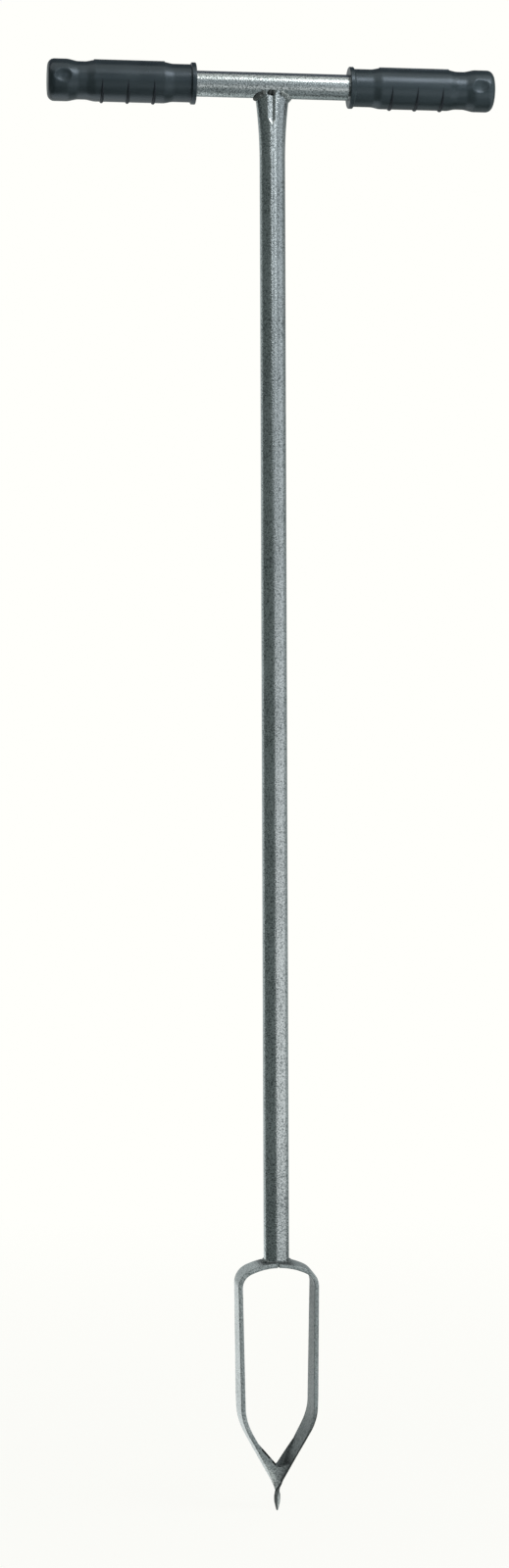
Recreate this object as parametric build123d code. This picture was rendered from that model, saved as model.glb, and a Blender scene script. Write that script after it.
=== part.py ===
from build123d import *
from math import atan2, cos, degrees, hypot, radians, sin
import os

# Hand earth auger, in millimetres and degrees. The origin is the tip of the point, +Z runs up the
# shaft, +X runs along the crossbar, and -Y is the front.

# Tube stock, the same for the shaft and the crossbar
TUBE_OD = 22.0
TUBE_WALL = 2.0

# Crossbar
BAR_LENGTH = 375.0
BAR_HEIGHT = 1232.0  # crossbar axis above the tip

# Top end of the shaft, pressed oval so that it spreads along the bar
FLARE_WIDTH = 29.0  # width of the oval at the underside of the bar
FLARE_LENGTH = 66.0  # from the bar's axis down to where the tube is round again
PRESS_MARK_WIDTH = 6.0
PRESS_MARK_LENGTH = 18.0
PRESS_MARK_DEPTH = 0.8
PRESS_MARK_DROP = 13.0  # top of the mark below the bar's axis

# Welds
BAR_WELD_SIZE = 3.0
BAR_WELD_BREAK = 7.0  # bare stretch at the front and back of the joint
FOOT_WELD_SIZE = 1.4

# Head: two strips of flat bar, bent alike, butted under the shaft
HEAD_HEIGHT = 216.0  # top of the arch above the tip
HEAD_WIDTH = 70.0  # over the shoulders
STRIP_WIDTH = 32.0
STRIP_THICK = 4.0
ARCH_SLOPE = 25.0  # how far the arch has turned down where a shoulder starts
SHOULDER_RADIUS = 12.5  # inside the bend
SEAM_CHAMFER = 0.9  # on the butted ends
EDGE_BREAK = 0.5  # on the outer leading edge, all the way down

# Legs and lower blades
LEG_DRAW_IN = 1.6  # how much nearer the axis a leg is at its foot
LEG_RAKE = 2.0  # turn of a leg at its foot, which sets its leading edge outwards
BEND_HEIGHT = 78.5  # where the lines of the leg and the lower blade would cross
BEND_REACH = 12.4  # the bend starts this far above that and ends this far below
TAPER_HEIGHT = 72.0  # below this a blade narrows
TAPER_EASE = 1.5  # power by which it starts to narrow
GRIND_HEIGHT = 97.0  # the ground leading edge starts here
GRIND_WIDTH = 6.0  # ground face, measured across the strip
GRIND_LAND = 1.0  # thickness that the grinding leaves

# Lower ends of the blades
BLADE_END_HEIGHT = 26.0
BLADE_END_WIDTH = 9.0
BLADE_END_REACH = 5.0  # from the axis to a blade's outer face
BLADE_END_RAKE = 12.0

# Throat plate, which closes the V between the blades at the front and the back
THROAT_TOP = 62.0  # where each plate starts on its own blade
THROAT_MIDDLE = 38.5  # top of a plate over the axis
THROAT_FAR = 41.0  # top of a plate on the other blade
THROAT_THICK = 2.5
THROAT_INSET = 0.3  # how far the plates stay behind the blades' edges
THROAT_FLOOR = 32.0  # solid below this

# Point, drawn out and twisted below the blades
LEAD_TWIST = 280.0  # right-handed turn of the point over its length
LEAD_NECK = 4  # power by which the point thins from its root to its belly
LEAD_BELLY_HEIGHT = 8.5
LEAD_BELLY_WIDTH = 5.0
LEAD_BELLY_THICK = 2.2
TIP_WIDTH = 1.2
TIP_THICK = 0.8

# Grips, pushed on to the ends of the crossbar
GRIP_LENGTH = 127.4
GRIP_FIT = 0.05  # radial clearance on the bar
GRIP_WALL = 5.0
GRIP_END_WALL = 6.5
FLANGE_RISE = 1.7  # above the barrel
FLANGE_THICK = 3.8
SWELL_RISE = 1.4  # hand swell above the barrel
SWELL_START = 27.0  # from the flange
SWELL_END = 39.9  # from the closed end
SWELL_RAMP = 6.5
BULB_RISE = 1.8
BULB_START = 25.4  # from the closed end
BULB_RAMP = 8.0
RAMP_ROUND = 16.0  # radius at the foot and the top of each ramp
END_ROUND = 6.0
EDGE_ROUND = 0.8
FINGER_RIBS = 3
FINGER_RIB_START = 36.5  # from the flange
FINGER_RIB_PITCH = 22.2
FINGER_RIB_THICK = 1.8
FINGER_RIB_RISE = 0.8
PALM_RIBS = 7
PALM_RIB_PITCH = 2.6
PALM_RIB_RADIUS = 0.9
PALM_RIB_RISE = 0.6
DIMPLE_RADIUS = 20.0
DIMPLE_DEPTH = 1.5

# Sizes that follow from those above
tube_radius = TUBE_OD / 2
bore_radius = tube_radius - TUBE_WALL
half_width = HEAD_WIDTH / 2
shoulder_outer = SHOULDER_RADIUS + STRIP_THICK
roof_radius = shoulder_outer + (half_width - shoulder_outer) / sin(radians(ARCH_SLOPE))
roof_centre = (0, HEAD_HEIGHT - roof_radius)
shoulder_centre = (
    half_width - shoulder_outer,
    roof_centre[1] + (roof_radius - shoulder_outer) * cos(radians(ARCH_SLOPE)),
)
leg_top = shoulder_centre[1]
bend_top = BEND_HEIGHT + BEND_REACH
bend_foot = BEND_HEIGHT - BEND_REACH
swell_stop = GRIP_LENGTH - SWELL_END
bulb_foot = GRIP_LENGTH - BULB_START


def along_x(length, radius):
    """A round bar on the crossbar's axis."""
    return Pos(0, 0, BAR_HEIGHT) * Rot(0, 90, 0) * Cylinder(radius, length)


def mix(start, end, share):
    return start + (end - start) * share


def steps(start, end, spans):
    """Evenly spaced values from start to end."""
    return [mix(start, end, span / spans) for span in range(spans + 1)]


def roof_block():
    """Everything under the arch, as far as the shaft's foot can reach."""
    return Pos(0, 0, roof_centre[1]) * Rot(90, 0, 0) * Cylinder(roof_radius, 3 * STRIP_WIDTH)


def flare_half_width(drop):
    """Half the width of the shaft, at a distance below the crossbar's axis."""
    spread = FLARE_WIDTH / 2 - tube_radius
    pressed = (FLARE_LENGTH - drop) / (FLARE_LENGTH - tube_radius)
    return tube_radius + spread * pressed**2


def flare_half_depth(drop):
    """The wall keeps its girth, so the oval loses in depth what it gains in width."""
    return TUBE_OD - flare_half_width(drop)


def flare(grow):
    """The pressed end as a full solid, grown or shrunk all round."""
    sections = []
    for drop in steps(FLARE_LENGTH, 0, 4):
        oval = Ellipse(flare_half_width(drop) + grow, flare_half_depth(drop) + grow)
        sections.append(Pos(0, 0, BAR_HEIGHT - drop) * oval)
    return loft(sections)


def shaft_bar(radius):
    """The round length of the shaft as a full solid, reaching into the arch."""
    foot = leg_top
    top = BAR_HEIGHT - FLARE_LENGTH
    return Pos(0, 0, (foot + top) / 2) * Cylinder(radius, top - foot)


def press_mark():
    """A flat pressed into the front of the oval by the jaw that squeezed it."""
    corners = []
    for drop in (PRESS_MARK_DROP, PRESS_MARK_DROP + PRESS_MARK_LENGTH):
        corners.append((PRESS_MARK_DEPTH - flare_half_depth(drop), BAR_HEIGHT - drop))
    (top_y, top_z), (foot_y, foot_z) = corners
    profile = Polyline((top_y, top_z), (foot_y, foot_z), (-TUBE_OD, foot_z), (-TUBE_OD, top_z), close=True)
    return extrude(Plane.YZ * make_face(profile), PRESS_MARK_WIDTH / 2, both=True)


def crossbar_tube():
    return along_x(BAR_LENGTH, tube_radius) - along_x(BAR_LENGTH, bore_radius)


def shaft_tube():
    tube = shaft_bar(tube_radius) + flare(0)
    tube -= shaft_bar(bore_radius) + flare(-TUBE_WALL)
    tube -= along_x(TUBE_OD * 2, tube_radius)
    tube -= roof_block()
    mark = press_mark()
    return tube - mark - Rot(0, 0, 180) * mark


def crossbar_welds():
    """Beads where the oval end meets the bar, one on the left and one on the right."""
    bead = flare(BAR_WELD_SIZE) & along_x(TUBE_OD * 3, tube_radius + BAR_WELD_SIZE)
    bead -= flare(0)
    bead -= along_x(TUBE_OD * 3, tube_radius)
    return bead - Pos(0, 0, BAR_HEIGHT) * Box(BAR_WELD_BREAK, TUBE_OD * 2, TUBE_OD * 2)


def foot_weld():
    """Fillet round the foot of the shaft, following the arch down on each side."""
    below = FOOT_WELD_SIZE
    wide = tube_radius + FOOT_WELD_SIZE + below
    ring = Cone(wide, tube_radius, FOOT_WELD_SIZE + below)
    ring = Pos(0, 0, HEAD_HEIGHT + (FOOT_WELD_SIZE - below) / 2) * ring
    return ring - shaft_bar(tube_radius) - roof_block()


def taper_share(height):
    """0 where a blade starts to taper, 1 at its lower end."""
    return max(0.0, (TAPER_HEIGHT - height) / (TAPER_HEIGHT - BLADE_END_HEIGHT))


def strip_width(height):
    return mix(STRIP_WIDTH, BLADE_END_WIDTH, taper_share(height) ** TAPER_EASE)


def leg_line(height):
    """Distance from the axis to the outer face of a leg."""
    return half_width - LEG_DRAW_IN * (leg_top - height) / (leg_top - BEND_HEIGHT)


def blade_line(height):
    """Distance from the axis to the outer face of a lower blade."""
    share = (height - BLADE_END_HEIGHT) / (BEND_HEIGHT - BLADE_END_HEIGHT)
    return mix(BLADE_END_REACH, leg_line(BEND_HEIGHT), share)


def outer_face(height):
    """The two lines with the bend between them."""
    if height >= bend_top:
        return leg_line(height)
    if height <= bend_foot:
        return blade_line(height)
    share = (height - bend_foot) / (bend_top - bend_foot)
    towards_corner = mix(blade_line(bend_foot), leg_line(BEND_HEIGHT), share)
    from_corner = mix(leg_line(BEND_HEIGHT), leg_line(bend_top), share)
    return mix(towards_corner, from_corner, share)


def level_thick(height):
    """Thickness of the strip measured level, which is more where the strip slopes."""
    step = 0.5
    low = max(height - step, BLADE_END_HEIGHT)
    slope = (outer_face(height + step) - outer_face(low)) / (height + step - low)
    return mix(STRIP_THICK * hypot(1, slope), STRIP_THICK, taper_share(height))


def inner_face(height):
    return outer_face(height) - level_thick(height)


def rake(height):
    """How far the strip has turned about the shaft's direction."""
    if height >= bend_top:
        return LEG_RAKE * (leg_top - height) / (leg_top - bend_top)
    return mix(LEG_RAKE, BLADE_END_RAKE, (bend_top - height) / (bend_top - BLADE_END_HEIGHT))


def leading_cut(height):
    """What easing or grinding takes off the leading edge, across the thickness and the width."""
    ground = min(1.0, max(0.0, (GRIND_HEIGHT - height) / (GRIND_HEIGHT - bend_foot)))
    off_thick = mix(EDGE_BREAK, level_thick(height) - GRIND_LAND, ground)
    off_width = mix(EDGE_BREAK, min(GRIND_WIDTH, strip_width(height) / 4), ground)
    return off_thick, off_width


def strip_section(height):
    """Level section of the right-hand strip, with its leading edge eased or ground."""
    outer = outer_face(height)
    inner = inner_face(height)
    edge = strip_width(height) / 2
    off_thick, off_width = leading_cut(height)
    corners = [
        (inner, -edge),
        (outer - off_thick, -edge),
        (outer, off_width - edge),
        (outer, edge),
        (inner, edge),
    ]
    face = make_face(Polyline(*corners, close=True))
    return Pos(0, 0, height) * Rot(0, 0, rake(height)) * face


def strip_loft(top, foot, spans):
    """The strip between two heights, through evenly spaced sections."""
    return loft([strip_section(height) for height in steps(top, foot, spans)])


def arch_half():
    """Half of the arch with one shoulder, its outer leading edge eased."""
    turned = 90 - ARCH_SLOPE
    rim = [
        CenterArc(roof_centre, roof_radius, turned, ARCH_SLOPE),
        CenterArc(shoulder_centre, shoulder_outer, 0, turned),
        Line((half_width, leg_top), (half_width - STRIP_THICK, leg_top)),
        CenterArc(shoulder_centre, SHOULDER_RADIUS, 0, turned),
        CenterArc(roof_centre, roof_radius - STRIP_THICK, turned, ARCH_SLOPE),
        Line((0, HEAD_HEIGHT - STRIP_THICK), (0, HEAD_HEIGHT)),
    ]
    arch = extrude(Plane.XZ * make_face(rim), STRIP_WIDTH / 2, both=True)
    arcs = arch.faces().sort_by(Axis.Y)[0].edges().filter_by(GeomType.CIRCLE)
    arch = chamfer(arcs.sort_by(SortBy.RADIUS)[1::2], EDGE_BREAK)
    butted = arch.faces().sort_by(Axis.X)[0].edges().sort_by(Axis.Z)
    return chamfer(butted[:-1], SEAM_CHAMFER)


def right_blade():
    blade = arch_half()
    blade += strip_loft(leg_top, GRIND_HEIGHT, 1)
    blade += strip_loft(GRIND_HEIGHT, TAPER_HEIGHT, 5)
    return blade + strip_loft(TAPER_HEIGHT, BLADE_END_HEIGHT, 7)


def throat_block(top, foot, inset, sink):
    """What fills the V between two heights, inset from the blades' edges and sunk into their faces."""
    sections = []
    for height in steps(foot, top, 4):
        across = 2 * (inner_face(height) + sink)
        deep = strip_width(height) - 2 * inset
        sections.append(Pos(0, 0, height) * Rot(0, 0, rake(height)) * Rectangle(across, deep))
    return loft(sections)


def throat_plate(left, right):
    """Two plates, one hung on each blade's trailing edge, solid at the foot of the V."""
    plate = throat_block(THROAT_TOP, BLADE_END_HEIGHT, THROAT_INSET, GRIND_LAND / 2)
    over = THROAT_TOP + THROAT_THICK
    plate -= throat_block(over, THROAT_FLOOR, THROAT_INSET + THROAT_THICK, STRIP_THICK)
    clear = [
        (-inner_face(THROAT_TOP), THROAT_TOP),
        (0, THROAT_MIDDLE),
        (inner_face(THROAT_FAR), THROAT_FAR),
        (HEAD_WIDTH, THROAT_FAR),
        (HEAD_WIDTH, BEND_HEIGHT),
        (-inner_face(THROAT_TOP), BEND_HEIGHT),
    ]
    front = extrude(Plane.XZ * make_face(Polyline(*clear, close=True)), STRIP_WIDTH)
    for turn in (0, 180):
        plate -= Rot(0, 0, rake(THROAT_TOP) + turn) * front
    return plate - left - right


def lead_section(height):
    """Level section of the point, turning right-handed as it goes down."""
    if height > LEAD_BELLY_HEIGHT:
        share = ((height - LEAD_BELLY_HEIGHT) / (BLADE_END_HEIGHT - LEAD_BELLY_HEIGHT)) ** LEAD_NECK
        wide = mix(LEAD_BELLY_WIDTH, 2 * BLADE_END_REACH, share)
        thick = mix(LEAD_BELLY_THICK, BLADE_END_WIDTH, share)
    else:
        share = height / LEAD_BELLY_HEIGHT
        wide = mix(TIP_WIDTH, LEAD_BELLY_WIDTH, share)
        thick = mix(TIP_THICK, LEAD_BELLY_THICK, share)
    off_thick, off_width = leading_cut(BLADE_END_HEIGHT)
    off_wide = wide * off_thick / (2 * BLADE_END_REACH)
    off_deep = thick * off_width / BLADE_END_WIDTH
    ground_side = [
        (wide / 2 - off_wide, -thick / 2),
        (wide / 2, off_deep - thick / 2),
        (wide / 2, thick / 2),
    ]
    corners = ground_side + [(-x, -y) for x, y in ground_side]
    turn = BLADE_END_RAKE - LEAD_TWIST * (1 - height / BLADE_END_HEIGHT)
    return Pos(0, 0, height) * Rot(0, 0, turn) * make_face(Polyline(*corners, close=True))


def lead_point():
    return loft([lead_section(height) for height in steps(BLADE_END_HEIGHT, 0, 14)])


def grip_outline():
    """Half of a grip's section: distance from the flange against radius."""
    barrel = tube_radius + GRIP_FIT + GRIP_WALL
    flange = barrel + FLANGE_RISE
    swell = barrel + SWELL_RISE
    bulb = barrel + BULB_RISE
    corners = [
        ((0, flange), EDGE_ROUND),
        ((FLANGE_THICK, flange), EDGE_ROUND),
        ((FLANGE_THICK + EDGE_ROUND, barrel), EDGE_ROUND),
        ((SWELL_START - SWELL_RAMP, barrel), RAMP_ROUND),
        ((SWELL_START, swell), RAMP_ROUND),
        ((swell_stop, swell), RAMP_ROUND),
        ((swell_stop + SWELL_RAMP, barrel), RAMP_ROUND),
        ((bulb_foot, barrel), RAMP_ROUND),
        ((bulb_foot + BULB_RAMP, bulb), RAMP_ROUND),
        ((GRIP_LENGTH, bulb), END_ROUND),
    ]
    points = [(0, 0)] + [point for point, _ in corners] + [(GRIP_LENGTH, 0)]
    line = FilletPolyline(*points, radius=[radius for _, radius in corners])
    return make_face(line.edges() + [Line((GRIP_LENGTH, 0), (0, 0))])


def grip():
    """A grip on the X axis, with its flange at the origin and its closed end towards +X."""
    body = revolve(grip_outline(), Axis.X)
    swell = tube_radius + GRIP_FIT + GRIP_WALL + SWELL_RISE
    rib_radius = swell + FINGER_RIB_RISE
    under = Pos(0, 0, -rib_radius) * Box(2 * GRIP_LENGTH, 3 * rib_radius, 2 * rib_radius)
    for number in range(FINGER_RIBS):
        place = FINGER_RIB_START + number * FINGER_RIB_PITCH
        disc = Pos(place, 0, 0) * Rot(0, 90, 0) * Cylinder(rib_radius, FINGER_RIB_THICK)
        body += disc & under
    rib_length = swell_stop - SWELL_START
    rib_middle = (SWELL_START + swell_stop) / 2
    rib_centre = swell + PALM_RIB_RISE - PALM_RIB_RADIUS
    for number in range(PALM_RIBS):
        turn = degrees(atan2((number - (PALM_RIBS - 1) / 2) * PALM_RIB_PITCH, swell))
        rod = Pos(rib_middle, 0, rib_centre) * Rot(0, 90, 0) * Cylinder(PALM_RIB_RADIUS, rib_length)
        body += Rot(turn, 0, 0) * rod
    depth = GRIP_LENGTH - GRIP_END_WALL
    body -= Pos(depth / 2, 0, 0) * Rot(0, 90, 0) * Cylinder(tube_radius + GRIP_FIT, depth)
    bulb = tube_radius + GRIP_FIT + GRIP_WALL + BULB_RISE
    bulb_middle = (bulb_foot + BULB_RAMP + GRIP_LENGTH - END_ROUND) / 2
    for side in (-1, 1):
        away = side * (bulb - DIMPLE_DEPTH + DIMPLE_RADIUS)
        body -= Pos(bulb_middle, away, 0) * Sphere(DIMPLE_RADIUS)
    return body


half_turn = Rot(0, 0, 180)
right = right_blade()
left = half_turn * right
grip_place = BAR_LENGTH / 2 + GRIP_END_WALL - GRIP_LENGTH
right_grip = Pos(grip_place, 0, BAR_HEIGHT) * grip()

nodes = {
    "crossbar_tube": crossbar_tube(),
    "shaft_tube": shaft_tube(),
    "crossbar_welds": crossbar_welds(),
    "foot_weld": foot_weld(),
    "left_blade": left,
    "right_blade": right,
    "throat_plate": throat_plate(left, right),
    "lead_point": lead_point(),
    "left_grip": half_turn * right_grip,
    "right_grip": right_grip,
}

os.makedirs("parts", exist_ok=True)
for name, shape in nodes.items():
    export_step(shape, f"parts/{name}.step")
    print(name, len(shape.solids()), "solid(s),", round(shape.volume), "mm3")
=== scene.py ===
# %% [markdown]
# # Dressing a hand earth auger
# The tool is a T-handle on a long tube, with a head of two bent blades that meet in a twisted point.
# Its exact solids come from a fixed frame, in metres, with the tip at the origin and the front at -Y.
# This lesson gives each piece the skin that the real one has: hammered enamel on the tubes, a
# smoother coat on the blades, lumpy welds under paint, and soft black rubber for the hands.

# %% The fixed frame
from functools import partial
from math import atan2, cos, degrees, hypot, pi, radians, sin, sqrt, tan

import bmesh
import bpy
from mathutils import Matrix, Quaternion, Vector


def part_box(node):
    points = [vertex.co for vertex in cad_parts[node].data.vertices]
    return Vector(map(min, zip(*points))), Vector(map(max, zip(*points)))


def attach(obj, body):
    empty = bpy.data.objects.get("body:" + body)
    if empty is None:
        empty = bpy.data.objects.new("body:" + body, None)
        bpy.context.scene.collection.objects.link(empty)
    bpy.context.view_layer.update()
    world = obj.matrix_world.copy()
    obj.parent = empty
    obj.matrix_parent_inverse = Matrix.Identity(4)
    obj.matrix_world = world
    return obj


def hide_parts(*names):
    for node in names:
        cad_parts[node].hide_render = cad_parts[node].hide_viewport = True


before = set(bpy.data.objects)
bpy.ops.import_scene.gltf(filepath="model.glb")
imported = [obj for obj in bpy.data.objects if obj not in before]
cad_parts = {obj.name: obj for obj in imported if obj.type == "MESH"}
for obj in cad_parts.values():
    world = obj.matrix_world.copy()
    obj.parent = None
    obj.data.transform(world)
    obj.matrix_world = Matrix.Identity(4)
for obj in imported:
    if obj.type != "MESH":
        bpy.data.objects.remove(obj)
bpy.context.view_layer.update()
MM = 0.001  # the tool is written in millimetres, and the studio round it in metres


def box_mm(node):
    """Lowest and highest corner of a solid of the frame, in millimetres."""
    low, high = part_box(node)
    return low / MM, high / MM


def mix(start, end, share):
    return start + (end - start) * share


def steps(start, end, spans):
    """Evenly spaced values from start to end."""
    return [mix(start, end, span / spans) for span in range(spans + 1)]


def share_of(value, start, end):
    """How far a value has come on the way from start to end, from 0 to 1."""
    return max(0.0, min(1.0, (value - start) / (end - start)))


# %% [markdown]
# ## Camera
# The tool was seen from about two and a half metres, at half its height and a little from the left,
# so the right end of the handle lies farther away and the handle seems to fall to the right. A long
# lens at that distance keeps the same slight convergence. A small shift frames the tool, and a
# fifth of a degree of roll lets the shaft lean as it does there.

# %% Camera
PICTURE_TALL = 1600  # pixels
CAMERA_DISTANCE = 2.458
CAMERA_HEIGHT = 0.645
CAMERA_TURN = radians(7.5)
CAMERA_ROLL = radians(-0.21)
CAMERA_LENS, SENSOR_WIDTH = 65.25, 36.0  # millimetres
AXIS_OFF_MIDDLE = 20.4  # pixels that the shaft stands right of the picture's middle
HORIZON_OFF_MIDDLE = 20.0  # pixels that the camera's height lies above it

look = Vector((sin(CAMERA_TURN), cos(CAMERA_TURN), 0))
camera = bpy.data.objects.new("camera", bpy.data.cameras.new("camera"))
camera.data.lens = CAMERA_LENS
camera.data.sensor_width = SENSOR_WIDTH
camera.data.shift_x = -AXIS_OFF_MIDDLE / PICTURE_TALL
camera.data.shift_y = -HORIZON_OFF_MIDDLE / PICTURE_TALL
camera.location = Vector((0, 0, CAMERA_HEIGHT)) - look * CAMERA_DISTANCE
camera.rotation_mode = "QUATERNION"
camera.rotation_quaternion = look.to_track_quat("-Z", "Y") @ Quaternion((0, 0, 1), CAMERA_ROLL)
scene = bpy.context.scene
scene.collection.objects.link(camera)
scene.camera = camera
scene.view_settings.view_transform = "Standard"
print("camera at", tuple(round(x, 3) for x in camera.location))

# %% [markdown]
# ## Helpers for nodes and colours
# Materials, the world and Geometry Nodes trees are all node trees, so one small function adds a node,
# sets it up and links it. Python's partial ties that function to one tree, so a call says only what
# is new. A Map Range node takes a value, the range that it comes from and the one that it goes to, in
# that order, and the second range is 0 to 1 where it isn't given. Colours are written as they look on
# a screen, in hex, and turned to the linear values that a renderer counts in.


# %% Helpers for nodes and colours
def add_node(tree, kind, inputs=(), **settings):
    """Adds a node. Inputs go by name or in order, and each takes a constant, a socket or a node."""
    node = tree.nodes.new(kind)
    for name, value in settings.items():
        setattr(node, name, value)
    named = inputs if isinstance(inputs, dict) else dict(enumerate(inputs))
    for key, value in named.items():
        if isinstance(value, bpy.types.Node):
            value = value.outputs[0]
        if isinstance(value, bpy.types.NodeSocket):
            tree.links.new(value, node.inputs[key])
        else:
            node.inputs[key].default_value = value
    return node


def cleared(holder):
    """Clears the tree of a material or a world, and gives the function that adds nodes to it."""
    holder.use_nodes = True
    holder.node_tree.nodes.clear()
    return partial(add_node, holder.node_tree)


def colour(code):
    """A screen colour such as '#8a9392' as linear red, green, blue and alpha."""
    channels = [int(code[place:place + 2], 16) / 255 for place in (1, 3, 5)]
    linear = [c / 12.92 if c <= 0.04045 else ((c + 0.055) / 1.055) ** 2.4 for c in channels]
    return (*linear, 1.0)


def per_metre(size_mm):
    """The texture scale that gives a pattern of this size."""
    return 1 / (size_mm * MM)


# %% [markdown]
# ## Surroundings
# A glossy tube shows the room more than it shows its own colour. The room here is white all round,
# as a sweep of paper would be, and it is white to the camera and in reflections alike. For the
# light that falls on matt surfaces the same room counts for less, so the lamps can model the form.

# %% White surround
PAPER_WHITE = "#fffffb"
AMBIENT_TINT, AMBIENT_STRENGTH = "#eef2f6", 0.5


def seen_by_eye(add):
    """1 for rays that show a thing, also in gloss and through glass, and 0 for light that falls on it."""
    rays = add("ShaderNodeLightPath").outputs
    seen = add("ShaderNodeMath", [rays["Is Camera Ray"], rays["Is Glossy Ray"]], operation="MAXIMUM")
    return add("ShaderNodeMath", [seen, rays["Is Transmission Ray"]], operation="MAXIMUM")


surround = bpy.data.worlds.new("white_surround")
scene.world = surround
add = cleared(surround)
ambient = add("ShaderNodeBackground", {"Color": colour(AMBIENT_TINT), "Strength": AMBIENT_STRENGTH})
paper = add("ShaderNodeBackground", {"Color": colour(PAPER_WHITE)})
mixed = add("ShaderNodeMixShader", [seen_by_eye(add), ambient, paper])
add("ShaderNodeOutputWorld", {"Surface": mixed})
print("world: white to the eye, and of strength", AMBIENT_STRENGTH, "as a lamp")

# %% [markdown]
# ## Floor
# The tip stands on a pale floor. Near the tip the floor takes part of its brightness from the lamps,
# so that the tool's shadow falls on it, and farther out it fades into the white of the room, which
# hides the horizon.

# %% Floor
FLOOR_RADIUS = 9.0
FLOOR_SHADE = "#f2f2ee"
SHADOW_NEAR, SHADOW_FAR = 0.3, 1.6  # metres from the tip
NEAR_GLOW = 0.92  # share of its brightness that is its own, near the tip

floor_mesh = bpy.data.meshes.new("floor")
shape = bmesh.new()
bmesh.ops.create_circle(shape, cap_ends=True, segments=96, radius=FLOOR_RADIUS)
shape.to_mesh(floor_mesh)
shape.free()
floor = bpy.data.objects.new("floor", floor_mesh)
scene.collection.objects.link(floor)

paper_floor = bpy.data.materials.new("pale_paper_floor")
add = cleared(paper_floor)
place = add("ShaderNodeTexCoord").outputs["Object"]
away = add("ShaderNodeVectorMath", [place], operation="LENGTH").outputs["Value"]
glow = add("ShaderNodeMapRange", [away, SHADOW_NEAR, SHADOW_FAR, NEAR_GLOW, 1.0])
share = add("ShaderNodeMath", [seen_by_eye(add), glow], operation="MULTIPLY")
matt = add("ShaderNodeBsdfDiffuse", {"Color": colour(FLOOR_SHADE)})
white = add("ShaderNodeEmission", {"Color": colour(PAPER_WHITE)})
mixed = add("ShaderNodeMixShader", [share, matt, white])
add("ShaderNodeOutputMaterial", {"Surface": mixed})
floor_mesh.materials.append(paper_floor)
print("floor: disc of", FLOOR_RADIUS, "m")

# %% [markdown]
# ## Lamps and cards
# One large soft lamp hangs in front, above and to the right, and draws the white line along the
# handle. A tall weak lamp on the right lights that side, and a small one lifts the right hand's grip.
# Enamelled tubes need something to reflect, or they look like paper, so cards stand round the tool as
# in a studio: dark cloth at the front left and the back right, pale boards on the right, grey ones
# behind and overhead, and two bright boards that draw the streak down the upper shaft. The cards
# start on the floor near the tip, turn up farther out and grow darker towards the top. They show
# only in reflections, so they cast no shadow and no camera sees them.

# %% Lamps
HANDLE_PLACE = (0, 0, 1.2)
SHAFT_PLACE = (0, 0, 0.6)
RIGHT_GRIP_PLACE = (0.13, 0, 1.22)


def around(turn, distance, height):
    """A place round the tool: turned to the right of the camera's side by this many degrees."""
    angle = CAMERA_TURN - radians(turn)
    return Vector((-sin(angle) * distance, -cos(angle) * distance, height))


def soft_lamp(name, place, aim, size, watts, tint="#ffffff", in_gloss=False):
    """A lit rectangle that no camera sees, and that reflections show only where that is asked for."""
    lamp = bpy.data.objects.new(name, bpy.data.lights.new(name, "AREA"))
    lamp.data.shape = "RECTANGLE"
    lamp.data.size, lamp.data.size_y = size
    lamp.data.energy = watts
    lamp.data.color = colour(tint)[:3]
    lamp.location = place
    lamp.rotation_mode = "QUATERNION"
    lamp.rotation_quaternion = (Vector(aim) - place).to_track_quat("-Z", "Y")
    lamp.visible_camera = False
    lamp.visible_glossy = in_gloss
    scene.collection.objects.link(lamp)
    print(name + ":", watts, "W at", [round(x, 2) for x in place])


soft_lamp("key_lamp", around(38, 1.17, 2.2), HANDLE_PLACE, size=(0.85, 0.6), watts=8.6, in_gloss=True)
soft_lamp("side_lamp", around(80, 2.2, 0.9), SHAFT_PLACE, size=(1.2, 1.8), watts=10.0, tint="#f4f8ff")
soft_lamp("fill_lamp", around(62, 0.75, 1.1), RIGHT_GRIP_PLACE, size=(0.4, 0.4), watts=3.2)

# %% A card
SHADE_HEIGHTS = (0.15, 1.4)  # metres, between which a card's shade changes
COLOUR_A, COLOUR_B, COLOUR_OUT = 6, 7, 2  # a Mix node repeats its sockets' names, so numbers tell them


def card(name, rows, low_shade, high_shade, heights=SHADE_HEIGHTS, strength=1.0):
    """A card that only reflections show, through rows of points, shaded from low to high."""
    count = len(rows[0])
    faces = []
    for row in range(len(rows) - 1):
        for spot in range(count - 1):
            corner = row * count + spot
            faces.append((corner, corner + 1, corner + count + 1, corner + count))
    mesh = bpy.data.meshes.new(name)
    mesh.from_pydata([point for row in rows for point in row], [], faces)
    cloth = bpy.data.materials.new(name + "_cloth")
    add = cleared(cloth)
    place = add("ShaderNodeTexCoord").outputs["Object"]
    height = add("ShaderNodeSeparateXYZ", [place]).outputs["Z"]
    share = add("ShaderNodeMapRange", [height, *heights])
    shades = {0: share, COLOUR_A: colour(low_shade), COLOUR_B: colour(high_shade)}
    shade = add("ShaderNodeMix", shades, data_type="RGBA").outputs[COLOUR_OUT]
    glow = add("ShaderNodeEmission", {"Color": shade, "Strength": strength})
    add("ShaderNodeOutputMaterial", {"Surface": glow})
    mesh.materials.append(cloth)
    made = bpy.data.objects.new(name, mesh)
    scene.collection.objects.link(made)
    for rays in ("camera", "diffuse", "shadow", "transmission"):
        setattr(made, "visible_" + rays, False)


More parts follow.
